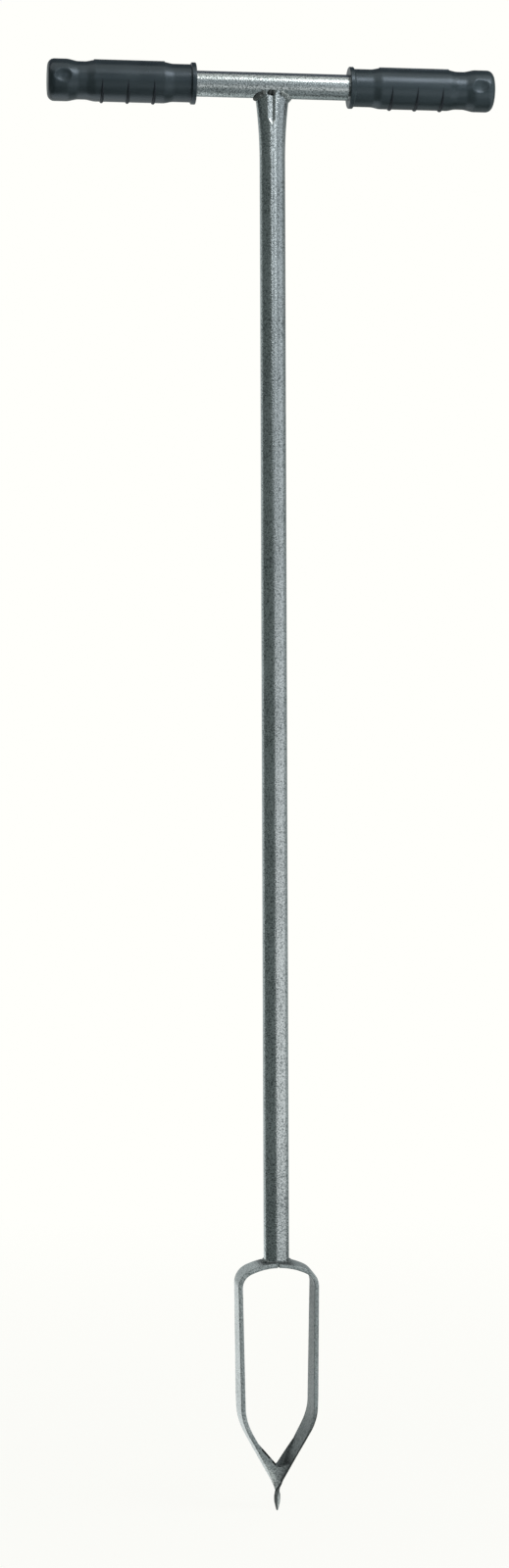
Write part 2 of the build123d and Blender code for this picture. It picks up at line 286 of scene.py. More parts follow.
# %% Cards round the tool
CARD_NEAR = 0.05  # metres from the shaft, where a sheet starts on the floor
SHEET_END = 1.3  # where the sheet ends and the card goes on, which is lit better
CARD_FAR = 1.7  # where the card turns up
CARD_TOP = 2.3
CARD_LIFT = 0.003  # clear of the floor
OVERHEAD_TURNS, OVERHEAD_PEAK, OVERHEAD_SHADE = (95, 265), 2.5, "#5a606c"
STREAK_TURNS = ((-9.0, 4.0), (19.5, 34.0))
STREAK_FOOT, STREAK_FULL, STREAK_TOP = 1.2, 1.6, 1.75  # a bright board is fully lit before its top
STREAK_GAP = 0.05  # in front of the cards
STREAK_SHADES, STREAK_STRENGTH = ("#7c8285", "#f2f6fa"), 2.2
CARD_SPANS, STREAK_SPANS = 8, 4

# name, turns from and to, strength and shade of the sheet, shades of the card below and above
cards = [
    ("black_front_left", -112, 7, 1.0, "#4a5150", "#6b7372", "#5d6564"),
    ("grey_back_left", -180, -112, 1.5, "#e6eaea", "#d0d6d6", "#c0c6c6"),
    ("pale_front_right", 7, 60, 1.0, "#a4abad", "#ffffff", "#9ca4aa"),
    ("pale_right", 60, 100, 1.0, "#9aa1a3", "#ffffff", "#c5ccd2"),
    ("black_back_right", 100, 150, 1.0, "#2c3232", "#b4baba", "#8a9192"),
    ("grey_back", 150, 180, 1.2, "#a4abab", "#a2a9a9", "#5d6466"),
]
sheet_edges = ((CARD_NEAR, CARD_LIFT), (SHEET_END, CARD_LIFT))
card_edges = ((SHEET_END, CARD_LIFT), (CARD_FAR, CARD_LIFT), (CARD_FAR, CARD_TOP))
board_edges = ((CARD_FAR - STREAK_GAP, STREAK_FOOT), (CARD_FAR - STREAK_GAP, STREAK_TOP))


def swept(edges, start, end, spans):
    """Rows of points round the tool, each at these distances and heights."""
    return [[around(turn, away, height) for away, height in edges] for turn in steps(start, end, spans)]


for name, start, end, sheet_strength, sheet_shade, low_shade, high_shade in cards:
    sheet = swept(sheet_edges, start, end, CARD_SPANS)
    card(name + "_sheet", sheet, sheet_shade, sheet_shade, strength=sheet_strength)
    card(name, swept(card_edges, start, end, CARD_SPANS), low_shade, high_shade)
peak = around(0, CARD_NEAR, OVERHEAD_PEAK)
overhead = [[around(turn, CARD_FAR, CARD_TOP), peak] for turn in steps(*OVERHEAD_TURNS, CARD_SPANS)]
card("grey_overhead", overhead, OVERHEAD_SHADE, OVERHEAD_SHADE)
for number, (start, end) in enumerate(STREAK_TURNS, 1):
    board = swept(board_edges, start, end, STREAK_SPANS)
    card(f"streak_board_{number}", board, *STREAK_SHADES, (STREAK_FOOT, STREAK_FULL), STREAK_STRENGTH)
print(2 * len(cards) + 1 + len(STREAK_TURNS), "cards round the tool")

# %% [markdown]
# ## Hammered enamel
# The tubes are sprayed with hammer-finish enamel: a grey stoving paint with aluminium flakes, which
# draws itself into grains a little over a millimetre wide as it dries. Each grain stands proud, and
# the coat sinks to a dark pit here and there between them. Noise with two octaves gives such grains,
# so one noise drives the colour, the roughness and a small bump, and the slopes of the bump break
# every reflection into speckles. The flakes make the coat mostly metallic. The handle wears a darker
# copy of the shaft's coat, which paints shade on to it. The flat blades wear a thinner, smoother coat
# with fewer flakes. Where a face of the blades or welds is marked, the coat gives way to a dull dark
# colour: bare steel where the blades are ground, worn or burnt, darker patches on the welds, dark marks
# on the throat's rim, and painted shade inside the head, on the throat plates, on the point's neck and
# on the lump in the gap under the handle. Where a face is marked as thick the grains stand higher. The
# tubes have no such marks.

# %% Enamel
PIT_TONE, DEEP_TONE, PALE_TONE = 0.42, 0.54, 0.72  # where the three shades lie in the noise
CLOUD_SIZE, CLOUD_SHARE = 40.0, 0.25  # millimetres; paler and darker stretches of the coat
PIT_DULL = 0.12  # how much rougher the pits are
# dark colour and extra roughness of marked faces: bare steel, and painted shade where a mark stands for
# shade
BARE_AND_SHADE_COLOUR, MARKED_DULL = "#121716", 0.5
THICK_RELIEF = 0.24  # millimetres, where paint gathered on an edge


def enamel(name, shades, grain_mm, relief_mm, metallic, rough, shine=0.5, marked=False):
    """Grey enamel with metal flakes, dried to fine grains, dark where marked as bare steel and as painted
    shade, and thick where marked so.
    """
    paint = bpy.data.materials.new(name)
    add = cleared(paint)
    place = add("ShaderNodeTexCoord").outputs["Object"]
    grain = add("ShaderNodeTexNoise", {"Vector": place, "Scale": per_metre(grain_mm), "Detail": 1.5})
    cloud = add("ShaderNodeTexNoise", {"Vector": place, "Scale": per_metre(CLOUD_SIZE), "Detail": 3.0})
    tone = add("ShaderNodeMath", [cloud, CLOUD_SHARE, grain], operation="MULTIPLY_ADD")
    coat = add("ShaderNodeValToRGB", [tone])
    coat.color_ramp.elements.new(DEEP_TONE)
    for stop, spot, shade in zip(coat.color_ramp.elements, (PIT_TONE, DEEP_TONE, PALE_TONE), shades):
        stop.position = spot
        stop.color = colour(shade)
    dull = add("ShaderNodeMapRange", [tone, PIT_TONE, PALE_TONE, rough + PIT_DULL, rough])
    relief = relief_mm * MM
    skin = {"Base Color": coat, "Metallic": metallic, "Roughness": dull, "Specular IOR Level": shine}
    if marked:
        # one mark carries bare steel and painted shade alike
        bare = add("ShaderNodeAttribute", attribute_name="bare").outputs["Fac"]
        thick = add("ShaderNodeAttribute", attribute_name="thick_coat").outputs["Fac"]
        tints = {0: bare, COLOUR_A: coat, COLOUR_B: colour(BARE_AND_SHADE_COLOUR)}
        skin["Base Color"] = add("ShaderNodeMix", tints, data_type="RGBA").outputs[COLOUR_OUT]
        skin["Metallic"] = add("ShaderNodeMath", [bare, -metallic, metallic], operation="MULTIPLY_ADD")
        skin["Roughness"] = add("ShaderNodeMath", [bare, MARKED_DULL, dull], operation="MULTIPLY_ADD")
        higher = (THICK_RELIEF - relief_mm) * MM
        relief = add("ShaderNodeMath", [thick, higher, relief], operation="MULTIPLY_ADD")
    skin["Normal"] = add("ShaderNodeBump", {"Height": grain, "Distance": relief})
    surface = add("ShaderNodeBsdfPrincipled", skin)
    add("ShaderNodeOutputMaterial", {"Surface": surface})
    print("enamel:", name)
    return paint


# %% Four coats
tube_enamel = enamel(
    "hammered_grey_enamel", ("#6f7778", "#9fa6a6", "#cbd2d2"),
    grain_mm=1.35, relief_mm=0.19, metallic=0.95, rough=0.17,
)
# a darker copy of the tube's enamel for the handle: painted shade
shaded_bar_enamel = enamel(
    "darker_hammered_enamel_painted_shade", ("#686f6f", "#939b9b", "#bac1c1"),
    grain_mm=1.35, relief_mm=0.12, metallic=0.95, rough=0.2,
)
blade_enamel = enamel(
    "thin_grey_enamel", ("#7c8483", "#959d9c", "#b4bcbb"),
    grain_mm=1.5, relief_mm=0.11, metallic=0.65, rough=0.26, shine=0.15, marked=True,
)
weld_enamel = enamel(
    "enamel_over_weld", ("#5d6563", "#7b8381", "#9fa6a4"),
    grain_mm=1.6, relief_mm=0.15, metallic=0.6, rough=0.32, shine=0.3, marked=True,
)

# %% [markdown]
# ## Rubber
# The grips are moulded in soft black rubber with a blue cast, and a blue tint painted into its shine
# stands in for bluish light. The mould leaves a fine grain that breaks up the shine, and handling
# leaves faint smears that are a little duller than the rest. Two noises do that without a picture,
# whose repeats would show. The thin ribs between the fingers get a blacker, matt copy of the rubber,
# which paints in the shade beside each rib.

# %% Rubber
RUBBER_GRAIN, GRAIN_RELIEF, GRAIN_STRENGTH = 0.9, 0.1, 0.35
SMEAR_SIZE = 22.0
SMEAR_TONES = (0.3, 0.75)  # where the two shades lie in the noise of the smears
SMEAR_DULL, DULL_FROM, DULL_TO = 0.09, 0.3, 0.7  # the shine lost, and between which values of the noise
# a blue tint in the rubber's shine: painted reflection colour for bluish light
RUBBER_IOR, RUBBER_SHINE_LIGHT_TINT = 1.62, "#d6e6f6"


def moulded_rubber(name, shades, rough):
    """Black rubber with a fine grain and faint smears."""
    rubber = bpy.data.materials.new(name)
    add = cleared(rubber)
    place = add("ShaderNodeTexCoord").outputs["Object"]
    grain = add("ShaderNodeTexNoise", {"Vector": place, "Scale": per_metre(RUBBER_GRAIN), "Detail": 3.0})
    smear = add("ShaderNodeTexNoise", {"Vector": place, "Scale": per_metre(SMEAR_SIZE), "Detail": 4.0})
    tint = add("ShaderNodeValToRGB", [smear])
    for stop, spot, shade in zip(tint.color_ramp.elements, SMEAR_TONES, shades):
        stop.position = spot
        stop.color = colour(shade)
    dull = add("ShaderNodeMapRange", [smear, DULL_FROM, DULL_TO, rough, rough + SMEAR_DULL])
    bump = add(
        "ShaderNodeBump", {"Height": grain, "Strength": GRAIN_STRENGTH, "Distance": GRAIN_RELIEF * MM}
    )
    skin = add(
        "ShaderNodeBsdfPrincipled",
        {"Base Color": tint, "Roughness": dull, "IOR": RUBBER_IOR, "Specular Tint": colour(RUBBER_SHINE_LIGHT_TINT),
         "Normal": bump},
    )
    add("ShaderNodeOutputMaterial", {"Surface": skin})
    print("rubber:", name)
    return rubber


grip_rubber = moulded_rubber("moulded_black_rubber", ("#1c2526", "#242d2e"), rough=0.27)
# a blacker, matt copy of the rubber for the finger ribs: painted shade beside each rib
rib_shade_rubber = moulded_rubber("rib_rubber_painted_shade", ("#05080a", "#0a0f11"), rough=0.5)

# %% [markdown]
# ## From rings to a piece
# Most pieces here are lofts: a row of rings, each with as many points as the next. One function skins
# the rings and closes the ends. Another makes the mesh and shades it, with a crease kept only where
# faces meet sharply, and stores the marks that the paint reads, one for each face.

# %% Skinning rings
FLAT_CREASE, ROUND_CREASE = 38, 50  # degrees between two faces, past which their edge stays sharp
MERGE_WITHIN = 0.002
CORNER_SHARE = 0.45  # the most of a side that a rounded corner may take


def piece_from(name, points_mm, faces, material, crease=FLAT_CREASE, **marks):
    """A mesh piece at its place, from points in millimetres, with marks for each face from 0 to 1."""
    mesh = bpy.data.meshes.new(name)
    mesh.from_pydata([Vector(point) * MM for point in points_mm], [], faces)
    for label, values in marks.items():
        mesh.attributes.new(label, "FLOAT", "FACE").data.foreach_set("value", values)
    shape = bmesh.new()
    shape.from_mesh(mesh)
    bmesh.ops.remove_doubles(shape, verts=shape.verts, dist=MERGE_WITHIN * MM)
    bmesh.ops.recalc_face_normals(shape, faces=shape.faces)
    shape.to_mesh(mesh)
    shape.free()
    mesh.shade_smooth()
    mesh.set_sharp_from_angle(angle=radians(crease))
    mesh.materials.append(material)
    piece = bpy.data.objects.new(name, mesh)
    scene.collection.objects.link(piece)
    piece.modifiers.new("flat_faces", "WEIGHTED_NORMAL").keep_sharp = True
    shaded = piece.evaluated_get(bpy.context.evaluated_depsgraph_get())
    piece.data = bpy.data.meshes.new_from_object(shaded)
    piece.modifiers.clear()
    print(name + ":", len(piece.data.polygons), "faces")
    return piece


def skin_rings(rings, folded=False):
    """Points and faces of a closed skin over rings of equal count.

    A folded ring goes up one side of a plate and down the other, and both sides are split alike.
    """
    count = len(rings[0])
    fold = count // 2 - 1 if folded else count
    points = [point for ring in rings for point in ring]
    faces = []
    for lower in range(0, len(points) - count, count):
        upper = lower + count
        for spot in range(count):
            after = (spot + 1) % count
            face = (lower + spot, lower + after, upper + after, upper + spot)
            faces.append(face if spot < fold else face[1:] + face[:1])
    for end in (range(count)[::-1], range(len(points) - count, len(points))):
        if folded:
            faces += [(end[k], end[k + 1], end[-k - 2], end[-k - 1]) for k in range(fold)]
        else:
            faces.append(tuple(end))
    return points, faces


def face_marks(rings, faces, bands):
    """A mark for each face of a skin: a band between two rings gives those of some places round it."""
    values = [band.get(spot, 0.0) for band in bands for spot in range(len(rings[0]))]
    return values + [0.0] * (len(faces) - len(values))  # the ends have none


def round_corners(corners, radius):
    """A closed outline with three points at each corner, cut back by the radius."""
    outline = []
    for place, corner in enumerate(corners):
        here = Vector(corner)
        sides = [Vector(corners[place - 1]) - here, Vector(corners[(place + 1) % len(corners)]) - here]
        cut = min(radius, *[CORNER_SHARE * side.length for side in sides])
        start, end = [here + side.normalized() * cut for side in sides]
        outline += [start, start * 0.25 + here * 0.5 + end * 0.25, end]
    return outline


# %% [markdown]
# ## Blades
# Each blade is a strip of flat bar, bent hot: half an arch under the shaft, a shoulder, a straight
# leg, a bend inwards and a lower blade that narrows to the point. Its leading edge is ground thin.
# A modifier could bend a straight strip, but the narrowing, the slight rake and the grinding change
# along the way, so the strip is lofted through sections that follow the same rules as the solid.

# %% Sizes of the head
head_low, head_high = box_mm("right_blade")
HEAD_HEIGHT = head_high.z
HALF_WIDTH = head_high.x
BLADE_END_HEIGHT = head_low.z
STRIP_WIDTH, STRIP_THICK = 32.0, 4.0
ROLLED_EDGE = 0.8  # rounding that the rolled bar has on its corners
EDGE_BREAK = 0.5
ARCH_SLOPE = radians(25)
SHOULDER_RADIUS = 12.5
SEAM_CHAMFER = 0.9
LEG_DRAW_IN, LEG_RAKE = 1.6, 2.0  # millimetres and degrees
BEND_HEIGHT, BEND_REACH = 78.5, 12.4
TAPER_HEIGHT, TAPER_EASE = 72.0, 1.5
GRIND_HEIGHT, GRIND_WIDTH, GRIND_LAND = 97.0, 6.0, 1.0
BLADE_END_WIDTH, BLADE_END_REACH, BLADE_END_RAKE = 9.0, 5.0, 12.0

shoulder_outer = SHOULDER_RADIUS + STRIP_THICK
shoulder_x = HALF_WIDTH - shoulder_outer
roof_radius = shoulder_outer + shoulder_x / sin(ARCH_SLOPE)
roof_height = HEAD_HEIGHT - roof_radius
leg_top = roof_height + (roof_radius - shoulder_outer) * cos(ARCH_SLOPE)
bend_top = BEND_HEIGHT + BEND_REACH
bend_foot = BEND_HEIGHT - BEND_REACH
print("head:", round(2 * HALF_WIDTH), "mm wide, arch radius", round(roof_radius, 1), "mm")


# %% Lines of a blade
def strip_width(height):
    return mix(STRIP_WIDTH, BLADE_END_WIDTH, share_of(height, TAPER_HEIGHT, BLADE_END_HEIGHT) ** TAPER_EASE)


def leg_line(height):
    return HALF_WIDTH - LEG_DRAW_IN * (leg_top - height) / (leg_top - BEND_HEIGHT)


def blade_line(height):
    share = (height - BLADE_END_HEIGHT) / (BEND_HEIGHT - BLADE_END_HEIGHT)
    return mix(BLADE_END_REACH, leg_line(BEND_HEIGHT), share)


def outer_face(height):
    """Distance from the axis to the outside of a blade: two lines with a bend between them."""
    if height >= bend_top:
        return leg_line(height)
    if height <= bend_foot:
        return blade_line(height)
    share = share_of(height, bend_foot, bend_top)
    towards_corner = mix(blade_line(bend_foot), leg_line(BEND_HEIGHT), share)
    from_corner = mix(leg_line(BEND_HEIGHT), leg_line(bend_top), share)
    return mix(towards_corner, from_corner, share)


def level_thick(height):
    """Thickness of the strip on the level: more where it slopes, and the bar's own at its lower end."""
    probe = 0.5
    low = max(height - probe, BLADE_END_HEIGHT)
    slope = (outer_face(height + probe) - outer_face(low)) / (height + probe - low)
    lowered = share_of(height, TAPER_HEIGHT, BLADE_END_HEIGHT)
    return mix(STRIP_THICK * hypot(1, slope), STRIP_THICK, lowered)


def inner_face(height):
    return outer_face(height) - level_thick(height)


def rake(height):
    """Turn of the strip about the shaft's direction, in degrees."""
    if height >= bend_top:
        return LEG_RAKE * (leg_top - height) / (leg_top - bend_top)
    return mix(LEG_RAKE, BLADE_END_RAKE, (bend_top - height) / (bend_top - BLADE_END_HEIGHT))


def leading_cut(height):
    """What easing or grinding takes off the leading edge, across the thickness and the width."""
    ground = share_of(height, GRIND_HEIGHT, bend_foot)
    off_thick = mix(EDGE_BREAK, level_thick(height) - GRIND_LAND, ground)
    off_width = mix(EDGE_BREAK, min(GRIND_WIDTH, strip_width(height) / 4), ground)
    return off_thick, off_width


def turned(x, y, z, turn):
    """A point turned about the shaft's axis by this many degrees."""
    angle = radians(turn)
    return (x * cos(angle) - y * sin(angle), x * sin(angle) + y * cos(angle), z)


def half_turn(points):
    return [(-x, -y, z) for x, y, z in points]


print("strip:", STRIP_WIDTH, "mm wide at the leg,", round(strip_width(bend_foot), 1), "mm under the bend")

# %% Sections of a blade
ARCH_SPANS, SHOULDER_SPANS, LEG_SPANS, BEND_SPANS, BLADE_SPANS = 10, 14, 12, 18, 20


def strip_outline(inner, outer, width, off_thick, off_width):
    """Section of the right strip: across its thickness, and along its width from front to back."""
    edge = width / 2
    corners = [
        (inner, -edge),
        (outer - off_thick, -edge),
        (outer, off_width - edge),
        (outer, edge),
        (inner, edge),
    ]
    return round_corners(corners, ROLLED_EDGE)


def bent_ring(middle_x, middle_z, outer_radius, angle, squeeze=0.0):
    """A section of the arch or shoulder, at an angle from upright about the bend's middle."""
    inner = outer_radius - STRIP_THICK + squeeze
    width = STRIP_WIDTH - 2 * squeeze
    outline = strip_outline(inner, outer_radius, width, EDGE_BREAK, EDGE_BREAK)
    return [(middle_x + r * sin(angle), y, middle_z + r * cos(angle)) for r, y in outline]


def level_ring(height):
    inner, outer = inner_face(height), outer_face(height)
    outline = strip_outline(inner, outer, strip_width(height), *leading_cut(height))
    return [turned(x, y, height, rake(height)) for x, y in outline]


def blade_rings():
    arch = steps(SEAM_CHAMFER / roof_radius, ARCH_SLOPE, ARCH_SPANS)
    shoulder = steps(ARCH_SLOPE, pi / 2, SHOULDER_SPANS)[1:]
    heights = steps(leg_top, bend_top, LEG_SPANS)[1:]
    heights += steps(bend_top, bend_foot, BEND_SPANS)[1:]
    heights += steps(bend_foot, BLADE_END_HEIGHT, BLADE_SPANS)[1:]
    rings = [bent_ring(0, roof_height, roof_radius, 0.0, SEAM_CHAMFER)]
    rings += [bent_ring(0, roof_height, roof_radius, angle) for angle in arch]
    rings += [bent_ring(shoulder_x, leg_top, shoulder_outer, angle) for angle in shoulder]
    return rings + [level_ring(height) for height in heights]


# %% Two blades
LAND_SPOTS = (1, 2, 3)  # places round a section, as strip_outline lays them
GROUND_SPOTS = (4, 5, 6)
INNER_SPOTS = (13, 14, 0)  # the inner face and half of each corner beside it
EDGE_SPOTS = (1, 2, 3, 10, 11, 12)  # the narrow edges, front and back
ROOF_SPOTS = (3, 4, 5, 6, 7, 8)
GROUND_BARE = 0.9
LAND_WORN_HEIGHT = 62.0  # where the narrow edge has lost all its paint
# painted shade on the inner faces, where the two blades face each other
INNER_SHADE = 0.42
SHADE_POOL_HEIGHT, SHADE_POOL_HALF, SHADE_POOL_DARK = 42.0, 9.0, 0.8  # painted shade inside, just above the plates
SCORCH_REACH, SCORCH_FADE, SCORCH_BARE = 9.0, 7.0, 0.75  # soot on the arch, beside the foot weld


def blade_bare_and_shade(ring):
    """How dark the faces after a section are: painted shade inside, and no paint where the edge is ground.
    """
    x, _, height = ring[0]
    pooled_shade = share_of(abs(height - SHADE_POOL_HEIGHT), SHADE_POOL_HALF, 0)
    ground = share_of(height, GRIND_HEIGHT, GRIND_HEIGHT - BEND_REACH)
    worn = share_of(height, GRIND_HEIGHT, LAND_WORN_HEIGHT)
    marks = dict.fromkeys(INNER_SPOTS, mix(INNER_SHADE, SHADE_POOL_DARK, pooled_shade))
    marks |= dict.fromkeys(GROUND_SPOTS, GROUND_BARE * ground)
    marks |= dict.fromkeys(LAND_SPOTS, GROUND_BARE * worn)
    if height > leg_top:
        scorch = share_of(x, SCORCH_REACH + SCORCH_FADE, SCORCH_REACH)
        marks |= dict.fromkeys(ROOF_SPOTS, SCORCH_BARE * scorch)
    return marks


def blade_coat(ring):
    """Where the paint is thick: on the narrow edges, down to the bend."""
    return dict.fromkeys(EDGE_SPOTS, share_of(ring[0][2], bend_foot, bend_top))


rings = blade_rings()
points, faces = skin_rings(rings)
blade_marks = {
    "bare": face_marks(rings, faces, [blade_bare_and_shade(ring) for ring in rings[:-1]]),
    "thick_coat": face_marks(rings, faces, [blade_coat(ring) for ring in rings[:-1]]),
}
right_blade = piece_from("right_blade_strip", points, faces, blade_enamel, **blade_marks)
left_blade = piece_from("left_blade_strip", half_turn(points), faces, blade_enamel, **blade_marks)

# %% [markdown]
# ## Throat and point
# Below the bend the blades are closed by two small plates, front and back, each high on one blade
# and low on the other, and under them the steel is drawn out and twisted into a point that pulls the
# tool into the ground. The plates are ruled between the blades. A modifier could twist a straight
# point, but this twist starts and ends gently, so the point is a loft whose sections turn by a rule.

# %% Throat plates
THROAT_TOP, THROAT_MIDDLE, THROAT_FAR = 62.0, 38.5, 41.0  # heights of the rim: left, middle and right
THROAT_THICK = 2.5
THROAT_INSET = 0.3
THROAT_FLOOR = 32.0
INNER_CLEAR = 0.2  # the two plates stay this far from the middle
THROAT_SCOOP = 1.6  # how far the plate is hollowed at its rim
THROAT_BEVEL = 1.7  # its rim was burnt off aslant on the left, by this much
BEVEL_ENDS = 0.44  # share of the way across where the slant starts to run out, at the middle
# painted shade on the plates, darker to the right
PLATE_LEFT_SHADE, PLATE_RIGHT_SHADE = 0.05, 0.75
RIM_MARKS = ((0.1, 0.29, 1.0), (0.35, 0.43, 1.0), (0.5, 1.0, 0.75))  # from, to and how dark, across; the last one is painted shade
PLATE_ACROSS, PLATE_UP = 48, 14  # spans


def throat_rim(share):
    """The plate's free edge: from high on the left blade, down over the axis, to the right blade."""
    if share < 0.5:
        return (mix(-inner_face(THROAT_TOP), 0, share * 2), mix(THROAT_TOP, THROAT_MIDDLE, share * 2))
    return (mix(0, inner_face(THROAT_FAR), share * 2 - 1), mix(THROAT_MIDDLE, THROAT_FAR, share * 2 - 1))


def throat_points(share, rise):
    """Outer and inner point of the front plate, across from left to right and up from its foot."""
    rim_x, rim_z = throat_rim(share)
    foot = inner_face(BLADE_END_HEIGHT) + GRIND_LAND
    x = mix(mix(-foot, foot, share), rim_x, rise)
    z = mix(BLADE_END_HEIGHT, rim_z, rise)
    reach = strip_width(z) / 2 - THROAT_INSET
    scoop = THROAT_SCOOP * rise * 4 * share * (1 - share)
    hollow = share_of(z, THROAT_FLOOR, THROAT_FLOOR + THROAT_THICK)
    back = mix(INNER_CLEAR, max(INNER_CLEAR, reach - scoop - THROAT_THICK), hollow)
    along = Vector((inner_face(THROAT_TOP), THROAT_MIDDLE - THROAT_TOP)).normalized()
    slant = THROAT_BEVEL * rise * share_of(share, 0.5, BEVEL_ENDS)
    front = turned(x + along.y * slant, scoop - reach, z - along.x * slant, rake(z))
    return front, turned(x, -back, z, rake(z))


def throat_ring(share):
    """A section of the front plate: up its front to the rim, and down its back to the foot."""
    pairs = [throat_points(share, rise) for rise in steps(0, 1, PLATE_UP)]
    return [front for front, back in pairs] + [back for front, back in reversed(pairs)]


def plate_shade_and_marks(share):
    """How dark the faces after a section are: painted shade that grows to the right, and dark marks on the
    rim.
    """
    middle = share + 0.5 / PLATE_ACROSS
    marks = dict.fromkeys(range(PLATE_UP), mix(PLATE_LEFT_SHADE, PLATE_RIGHT_SHADE, share))
    marks[PLATE_UP] = sum(bare for low, high, bare in RIM_MARKS if low < middle < high)
    return marks


shares = steps(0, 1, PLATE_ACROSS)
rings = [throat_ring(share) for share in shares]
points, faces = skin_rings(rings, folded=True)
plate_shade = face_marks(rings, faces, [plate_shade_and_marks(share) for share in shares[:-1]])
both_faces = faces + [tuple(spot + len(points) for spot in face) for face in faces]
throat = piece_from(
    "throat_plates", points + half_turn(points), both_faces, blade_enamel, bare=plate_shade * 2
)

# %% Twisted point
LEAD_TWIST = 170.0
LEAD_TWIST_END = 11.0  # height below which it turns no more; the turn starts and ends gently
LEAD_NECK, LEAD_NECK_DEEP = 2.5, 6  # how soon it thins below the blades, across and from front to back
LEAD_BELLY_HEIGHT, LEAD_BELLY_WIDTH, LEAD_BELLY_THICK = 8.5, 5.4, 3.8
LEAD_TIP_EASE = 0.75  # how full it stays below the belly
LEAD_BACK_CUT = 0.35  # share of the width that its back corners lose on the way down
TIP_WIDTH, TIP_THICK = 1.2, 0.8
LEAD_SPANS = 60


def lead_ring(height):
    """A section of the point: from the blades down to the belly, and from there to the tip."""
    neck = share_of(height, LEAD_BELLY_HEIGHT, BLADE_END_HEIGHT)
    full = share_of(height, 0, LEAD_BELLY_HEIGHT) ** LEAD_TIP_EASE
    wide = mix(TIP_WIDTH, mix(LEAD_BELLY_WIDTH, 2 * BLADE_END_REACH, neck**LEAD_NECK), full)
    top_thick = BLADE_END_WIDTH - 2 * THROAT_INSET
    thick = mix(TIP_THICK, mix(LEAD_BELLY_THICK, top_thick, neck**LEAD_NECK_DEEP), full)
    off_thick, off_width = leading_cut(BLADE_END_HEIGHT)
    off_wide = wide * off_thick / (2 * BLADE_END_REACH)
    off_deep = thick * off_width / BLADE_END_WIDTH
    off_back = wide * LEAD_BACK_CUT * (1 - neck**3)
    ground_side = [
        (wide / 2 - off_wide, -thick / 2),
        (wide / 2, off_deep - thick / 2),
        (wide / 2 - off_back, thick / 2),
    ]
    corners = ground_side + [(-x, -y) for x, y in ground_side]
    twisted = share_of(height, BLADE_END_HEIGHT, LEAD_TWIST_END)
    turn = BLADE_END_RAKE - LEAD_TWIST * twisted * twisted * (3 - 2 * twisted)
    return [turned(x, y, height, turn) for x, y in round_corners(corners, ROLLED_EDGE / 2)]


LEAD_GROUND_SPOTS = (1, 2, 10, 11)  # the ground corners and the narrow sides, as lead_ring lays them
LEAD_SIDE_SPOTS = (3, 4, 5, 6, 12, 13, 14, 15)
LEAD_FACE_SPOTS = (7, 8, 9, 16, 17, 0)
LEAD_SIDE_BARE, LEAD_SIDE_TOP = 0.7, 23.0  # above that height the narrow sides keep their paint
LEAD_GRIND_END = 14.0  # height below which the corners keep their paint
NECK_SHADE, NECK_FOOT = 0.4, 17.0  # painted shade that runs on from the plates, and the height where it ends


# darker faces of the point: painted shade at its neck, bare steel on its ground corners and narrow sides
def lead_bare_and_shade(ring):
    height = ring[0][2]
    marks = dict.fromkeys(LEAD_FACE_SPOTS, NECK_SHADE * share_of(height, NECK_FOOT, BLADE_END_HEIGHT))
    if height < LEAD_SIDE_TOP:
        marks |= dict.fromkeys(LEAD_SIDE_SPOTS, LEAD_SIDE_BARE)
    if height > LEAD_GRIND_END:
        marks |= dict.fromkeys(LEAD_GROUND_SPOTS, GROUND_BARE)
    return marks


rings = [lead_ring(height) for height in steps(BLADE_END_HEIGHT, 0, LEAD_SPANS)]
points, faces = skin_rings(rings)
lead_marks_bare_and_shade = face_marks(rings, faces, [lead_bare_and_shade(ring) for ring in rings[:-1]])
lead = piece_from("twisted_point", points, faces, blade_enamel, bare=lead_marks_bare_and_shade)

# %% [markdown]
# ## Shaft
# The shaft is one length of tube. Its top was squeezed in a press until it spread along the handle,
# and the jaw left a dent at the front and the back. Its ends are cut to fit: a saddle under the
# handle and another on the arch. All of that is a rule applied to a straight tube, so Geometry Nodes
# sweep a circle along a line and then move each point by the rule.


# %% A way to run a tree
def new_tree(name, sizes, **others):
    """A tree with named inputs, among them a finish, with the function that adds nodes to it."""
    tree = bpy.data.node_groups.new(name, "GeometryNodeTree")
    kinds = dict.fromkeys(sizes, "Float") | others | {"Finish": "Material"}
    for label, kind in kinds.items():
        tree.interface.new_socket(label, in_out="INPUT", socket_type="NodeSocket" + kind)
    tree.interface.new_socket("Mesh", in_out="OUTPUT", socket_type="NodeSocketGeometry")
    add = partial(add_node, tree)
    return tree, add, add("NodeGroupInput").outputs


def finish_tree(add, mesh, finish):
    """Every tree ends alike: real geometry with smooth faces and its finish."""
    real = add("GeometryNodeRealizeInstances", {"Geometry": mesh})
    smooth = add("GeometryNodeSetShadeSmooth", {"Geometry": real})
    dressed = add("GeometryNodeSetMaterial", {"Geometry": smooth, "Material": finish})
    add("NodeGroupOutput", {"Mesh": dressed})


def run_tree(name, tree, sizes_mm, others, material):
    """Runs a Geometry Nodes tree on an empty mesh and keeps what it makes as a plain mesh."""
    values = {label: size * MM for label, size in sizes_mm.items()} | others
    piece = bpy.data.objects.new(name, bpy.data.meshes.new(name))
    scene.collection.objects.link(piece)
    modifier = piece.modifiers.new(name, "NODES")
    modifier.node_group = tree
    inputs = [item for item in tree.interface.items_tree if item.in_out == "INPUT"]
    sockets = {item.name: item.identifier for item in inputs}
    for label, value in (values | {"Finish": material}).items():
        modifier[sockets[label]] = value
    grown = piece.evaluated_get(bpy.context.evaluated_depsgraph_get())
    made = bpy.data.meshes.new_from_object(grown)
    piece.modifiers.clear()
    piece.data = made
    made.name = name
    print(name + ":", len(made.polygons), "faces by nodes")
    return piece


